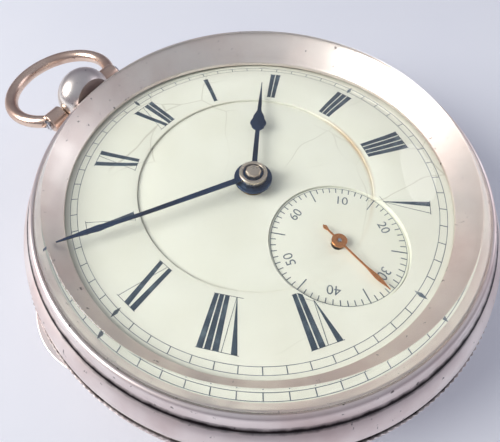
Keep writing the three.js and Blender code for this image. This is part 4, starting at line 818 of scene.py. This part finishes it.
def hour_numerals():
    quads = []
    for minute, text in HOURS.items():
        quads += [[past_seconds(u, v, minute) for u, v in quad] for quad in strokes(text)]
    return printed("hour_numerals", quads, DIAL_Z)


def ring_area(quad):
    return sum(a[0] * b[1] - b[0] * a[1] for a, b in zip(quad, quad[1:] + quad[:1])) / 2


def circle_line(radius, width, height, name, sides=240):
    return turned(name, [(radius, height - 0.01), (radius + width, height - 0.01),
                         (radius + width, height + PRINT), (radius, height + PRINT)], sides)


def tick(minute, inner, outer, width):
    out = math.radians(90 - 6 * minute)
    x, y = math.cos(out), math.sin(out)
    h = width / 2
    return [(inner * x + h * y, inner * y - h * x), (outer * x + h * y, outer * y - h * x),
            (outer * x - h * y, outer * y + h * x), (inner * x - h * y, inner * y + h * x)]


TRACK, MARK_IN, MARK_MID, MARK_OUT = (19.35, 20.0), 19.1, 19.68, 20.3
SMALL_IN, SMALL_OUT, NUMBER_R, NUMBER_SIZE = 6.2, 6.75, 4.8, 1.4


def minute_track():
    quads = [tick(m, *TRACK, 0.09) for m in range(60)]
    for m in (0, 15, 30, 45):
        quads.append([fan(0, MARK_IN, m), fan(0.18, MARK_MID, m),
                      fan(0, MARK_OUT, m), fan(-0.18, MARK_MID, m)])
    rings = [circle_line(r, 0.05, DIAL_Z, "line") for r in TRACK]
    return merged("minute_track", [printed("ticks", quads, DIAL_Z), *rings])


def seconds_printing():
    level = DIAL_Z - SECONDS_SINK
    quads = [tick(s, SMALL_IN, SMALL_OUT, 0.1) for s in range(60)]
    quads += [tick(s, 5.3, 6.8, 0.12) for s in range(5, 60, 10)]
    return at_seconds(merged("seconds_track", [printed("ticks", quads, level),
                                               circle_line(6.72, 0.05, level, "line", 160)]))


def seconds_numbers():
    level = DIAL_Z - SECONDS_SINK
    parts = []
    for second in range(10, 61, 10):
        text = bpy.data.curves.new("number", "FONT")
        text.body = str(second)
        text.size = NUMBER_SIZE * MM
        text.align_x = "CENTER"
        text.extrude = 0.011 * MM
        text.resolution_u = 4
        holder = bpy.data.objects.new("number", text)
        bpy.context.scene.collection.objects.link(holder)
        bpy.context.view_layer.update()
        shaped = holder.evaluated_get(bpy.context.evaluated_depsgraph_get())
        mesh = bpy.data.meshes.new_from_object(shaped)
        bpy.data.objects.remove(holder)
        turn = Matrix.Rotation(math.radians(-6 * second), 4, "Z")
        mesh.transform(turn @ Matrix.Translation((0, NUMBER_R * MM, level * MM)))
        parts.append(mesh)
    return at_seconds(merged("seconds_numbers", parts))


place("hour_numerals", to_dial(hour_numerals()), INK, "case")
place("minute_track", to_dial(minute_track()), THIN_INK, "case")
place("seconds_track", to_dial(seconds_printing()), THIN_INK, "case")
place("seconds_numbers", to_dial(seconds_numbers()), THIN_INK, "case")

# %% [markdown]
# ## Hands
# Spade hands are filed from thin steel and blued over a flame. Each is drawn as half widths along its
# length, with a round boss. The bosses stack on the centre post, whose square end takes the key.
# %% Hands
HOUR_Z, MINUTE_Z, SECOND_Z = 11.35, 12.0, 10.75
HOUR, MINUTE, SECOND = 1, 48.75, 32
minutes_now = MINUTE + SECOND / 60


def blade(name, stations, low, thick, turn, boss, smooth_steps=6):
    half = []
    for (y0, w0), (y1, w1) in zip(stations, stations[1:]):
        for k in range(smooth_steps):
            t = k / smooth_steps
            ease = t * t * (3 - 2 * t)
            half.append((w0 + (w1 - w0) * ease, y0 + (y1 - y0) * t))
    half.append((stations[-1][1], stations[-1][0]))
    outline = half + [(-w, y) for w, y in half[::-1]]
    parts = [plate(name, [outline], low, low + thick, 0.025), *boss]
    mesh = merged(name, parts)
    mesh.transform(Matrix.Rotation(math.radians(turn), 4, "Z"))
    return mesh


def boss(inner, outer, low, high, edge=0.1):
    return turned("boss", rounded([(inner, low), (outer, low), (outer, high), (inner, high)], edge), 72)


HOUR_BLADE = [(1.5, 0.3), (7.0, 0.26), (7.5, 0.72), (8.2, 0.95), (9.0, 0.68), (10.4, 0.24),
              (15.3, 0.05)]
MINUTE_BLADE = [(1.0, 0.3), (15.3, 0.2), (16.2, 0.26), (17.1, 0.36), (18.2, 0.28), (19.9, 0.14),
                (21.3, 0.05)]
SECOND_BLADE = [(-2.3, 0.05), (-2.0, 0.22), (-1.5, 0.1), (3.6, 0.1), (5.2, 0.24), (6.6, 0.04)]
hour = blade("hour_hand_fine", HOUR_BLADE, HOUR_Z, 0.2, -30 * (HOUR + minutes_now / 60),
             [boss(1.0, 2.05, HOUR_Z, HOUR_Z + 0.42)])
minute = blade("minute_hand_fine", MINUTE_BLADE, MINUTE_Z, 0.2, -6 * minutes_now, [])
second = blade("seconds_hand_fine", SECOND_BLADE, SECOND_Z, 0.14, -6 * SECOND,
               [boss(0.24, 0.78, SECOND_Z, SECOND_Z + 0.22, 0.07)])
collar = boss(1.1, 1.5, MINUTE_Z - 0.1, MINUTE_Z + 0.62, 0.12)
place("hour_hand_fine", to_dial(hour), BLUED, "hour", ["hour_hand"])
place("minute_hand_fine", to_dial(minute), BLUED, "centre", ["minute_hand"])
place("minute_boss", collar, BOSS_METAL, "centre")
place("boss_floor", boss(0.62, 1.14, MINUTE_Z, MINUTE_Z + 0.25, 0.05), BLUED, "centre")
place("seconds_hand_fine", to_dial(at_seconds(second)), COPPER, "fourth", ["seconds_hand"])


def setting_square():
    """The worn square: eight sides where the corners have rounded, under a low dome."""
    low, top = MINUTE_Z + 0.2, MINUTE_Z + 1.02
    return turned("setting_square", [(0, low), (0.84, low), (0.86, top - 0.28), (0.72, top - 0.1),
                                     (0.4, top - 0.02), (0, top)], 8)


place("setting_square", to_dial(setting_square()), BOSS_METAL, "centre")

# %% [markdown]
# ## Finishes for the parts that stay
# The movement keeps its solids as they are. They only need the right metal, and smooth shading across
# the many small facets of their rims.
# %% Movement finishes
by_slot = {"silver": SILVER, "crystal_glass": GLASS, "enamel": ENAMEL, "blued_steel": BLUED,
           "polished_steel": STEEL, "gilt_brass": GILT, "brass": BRASS, "copper": COPPER, "ruby": RUBY}
slot_of = {s["node"]: s["material_slot"] for s in frame["record"]["subparts"]}
for label, cad in frame["nodes"].items():
    cad.data.materials.clear()
    cad.data.materials.append(by_slot[slot_of[label]])
    smooth(cad.data, 30)
print("finished nodes", len(frame["nodes"]), "with", len(by_slot), "materials")

# %% [markdown]
# ## Floor
# A plain pale floor keeps the eye on the watch. It is left out when seen from below, so that the back
# can be looked at.
# %% Floor
def floor():
    half = 1500
    below = -0.02
    corners = [(-half, -half, below), (half, -half, below), (half, half, below), (-half, half, below)]
    mesh = mesh_from("floor", corners, [(0, 1, 2, 3)])
    material, tree, surface = shaded("pale_floor")
    at = node(tree, "ShaderNodeTexCoord").outputs["Object"]
    grain = node(tree, "ShaderNodeTexNoise", {"Vector": at, "Scale": 60.0, "Detail": 3.0})
    tree.links.new(mix(tree, grain.outputs["Fac"], (0.92, 0.95, 1.0), (0.88, 0.91, 0.98)),
                   surface.inputs["Base Color"])
    surface.inputs["Roughness"].default_value = 0.6
    side = node(tree, "ShaderNodeNewGeometry")
    choose = node(tree, "ShaderNodeMixShader", {0: side.outputs["Backfacing"]})
    tree.links.new(surface.outputs[0], choose.inputs[1])
    tree.links.new(node(tree, "ShaderNodeBsdfTransparent").outputs[0], choose.inputs[2])
    tree.links.new(choose.outputs[0], tree.nodes["Material Output"].inputs["Surface"])
    mesh.materials.append(material)
    piece = bpy.data.objects.new("floor", mesh)
    bpy.context.scene.collection.objects.link(piece)


floor()

# %% [markdown]
# ## Lamps and sky
# Metal shows what is round it, so one large lamp, a dimmer one opposite and a slightly lilac sky give
# it bright and dark bands. Lamps this broad cast soft shadows too.
# %% Lamps and sky
def softbox(name, at, size, watts, colour=(1, 1, 1)):
    lamp = bpy.data.lights.new(name, "AREA")
    lamp.shape = "DISK"
    lamp.size = size * MM
    lamp.energy = watts
    lamp.color = colour
    piece = bpy.data.objects.new(name, lamp)
    piece.location = Vector(at) * MM
    piece.rotation_mode = "QUATERNION"
    piece.rotation_quaternion = (-Vector(at)).to_track_quat("-Z", "Y")
    bpy.context.scene.collection.objects.link(piece)


softbox("key_lamp", (-240, 250, 250), 260, 1.45, (1.0, 0.97, 0.94))
softbox("fill_lamp", (340, -190, 160), 240, 0.25, (0.95, 0.92, 1.0))
sky = bpy.data.worlds.new("sky")
sky.use_nodes = True
backdrop = sky.node_tree.nodes["Background"]
air = sky.node_tree
direction = node(air, "ShaderNodeTexCoord").outputs["Generated"]
height = node(air, "ShaderNodeSeparateXYZ", {0: direction}).outputs[2]
shade = mix(air, band(air, height, 0.0, 0.75), (0.34, 0.29, 0.38), (0.84, 0.87, 1.0))
air.links.new(shade, backdrop.inputs["Color"])
backdrop.inputs["Strength"].default_value = 0.44
bpy.context.scene.world = sky
bpy.context.scene.view_settings.view_transform = "Standard"
print("lamps", len(bpy.data.lights), "sky strength", round(backdrop.inputs["Strength"].default_value, 2))

# %% [markdown]
# ## Camera
# The watch is seen close and from the lower left, so the near rim looks wide and the far one narrow.
# The small lens shift moves the watch within the frame without turning the view.
# %% Camera
CAMERA_AT = Vector((-24.88, -14.69, 50.86))
CAMERA_AIM = Vector((-2.662, 3.956, 10.7))
CAMERA_ROLL = -5.33
camera_data = bpy.data.cameras.new("camera")
camera_data.sensor_width = 36
camera_data.lens = 31.85
camera_data.shift_x = 0.08
camera_data.shift_y = -0.0715
camera_data.clip_start = 0.002
camera_data.clip_end = 20
camera = bpy.data.objects.new("camera", camera_data)
bpy.context.scene.collection.objects.link(camera)
look = (CAMERA_AIM - CAMERA_AT).to_track_quat("-Z", "Y").to_matrix().to_4x4()
roll = Matrix.Rotation(math.radians(CAMERA_ROLL), 4, "Z")
camera.matrix_world = Matrix.Translation(CAMERA_AT * MM) @ look @ roll
bpy.context.scene.camera = camera
print("camera right", [round(x, 3) for x in camera.matrix_world.col[0][:3]])
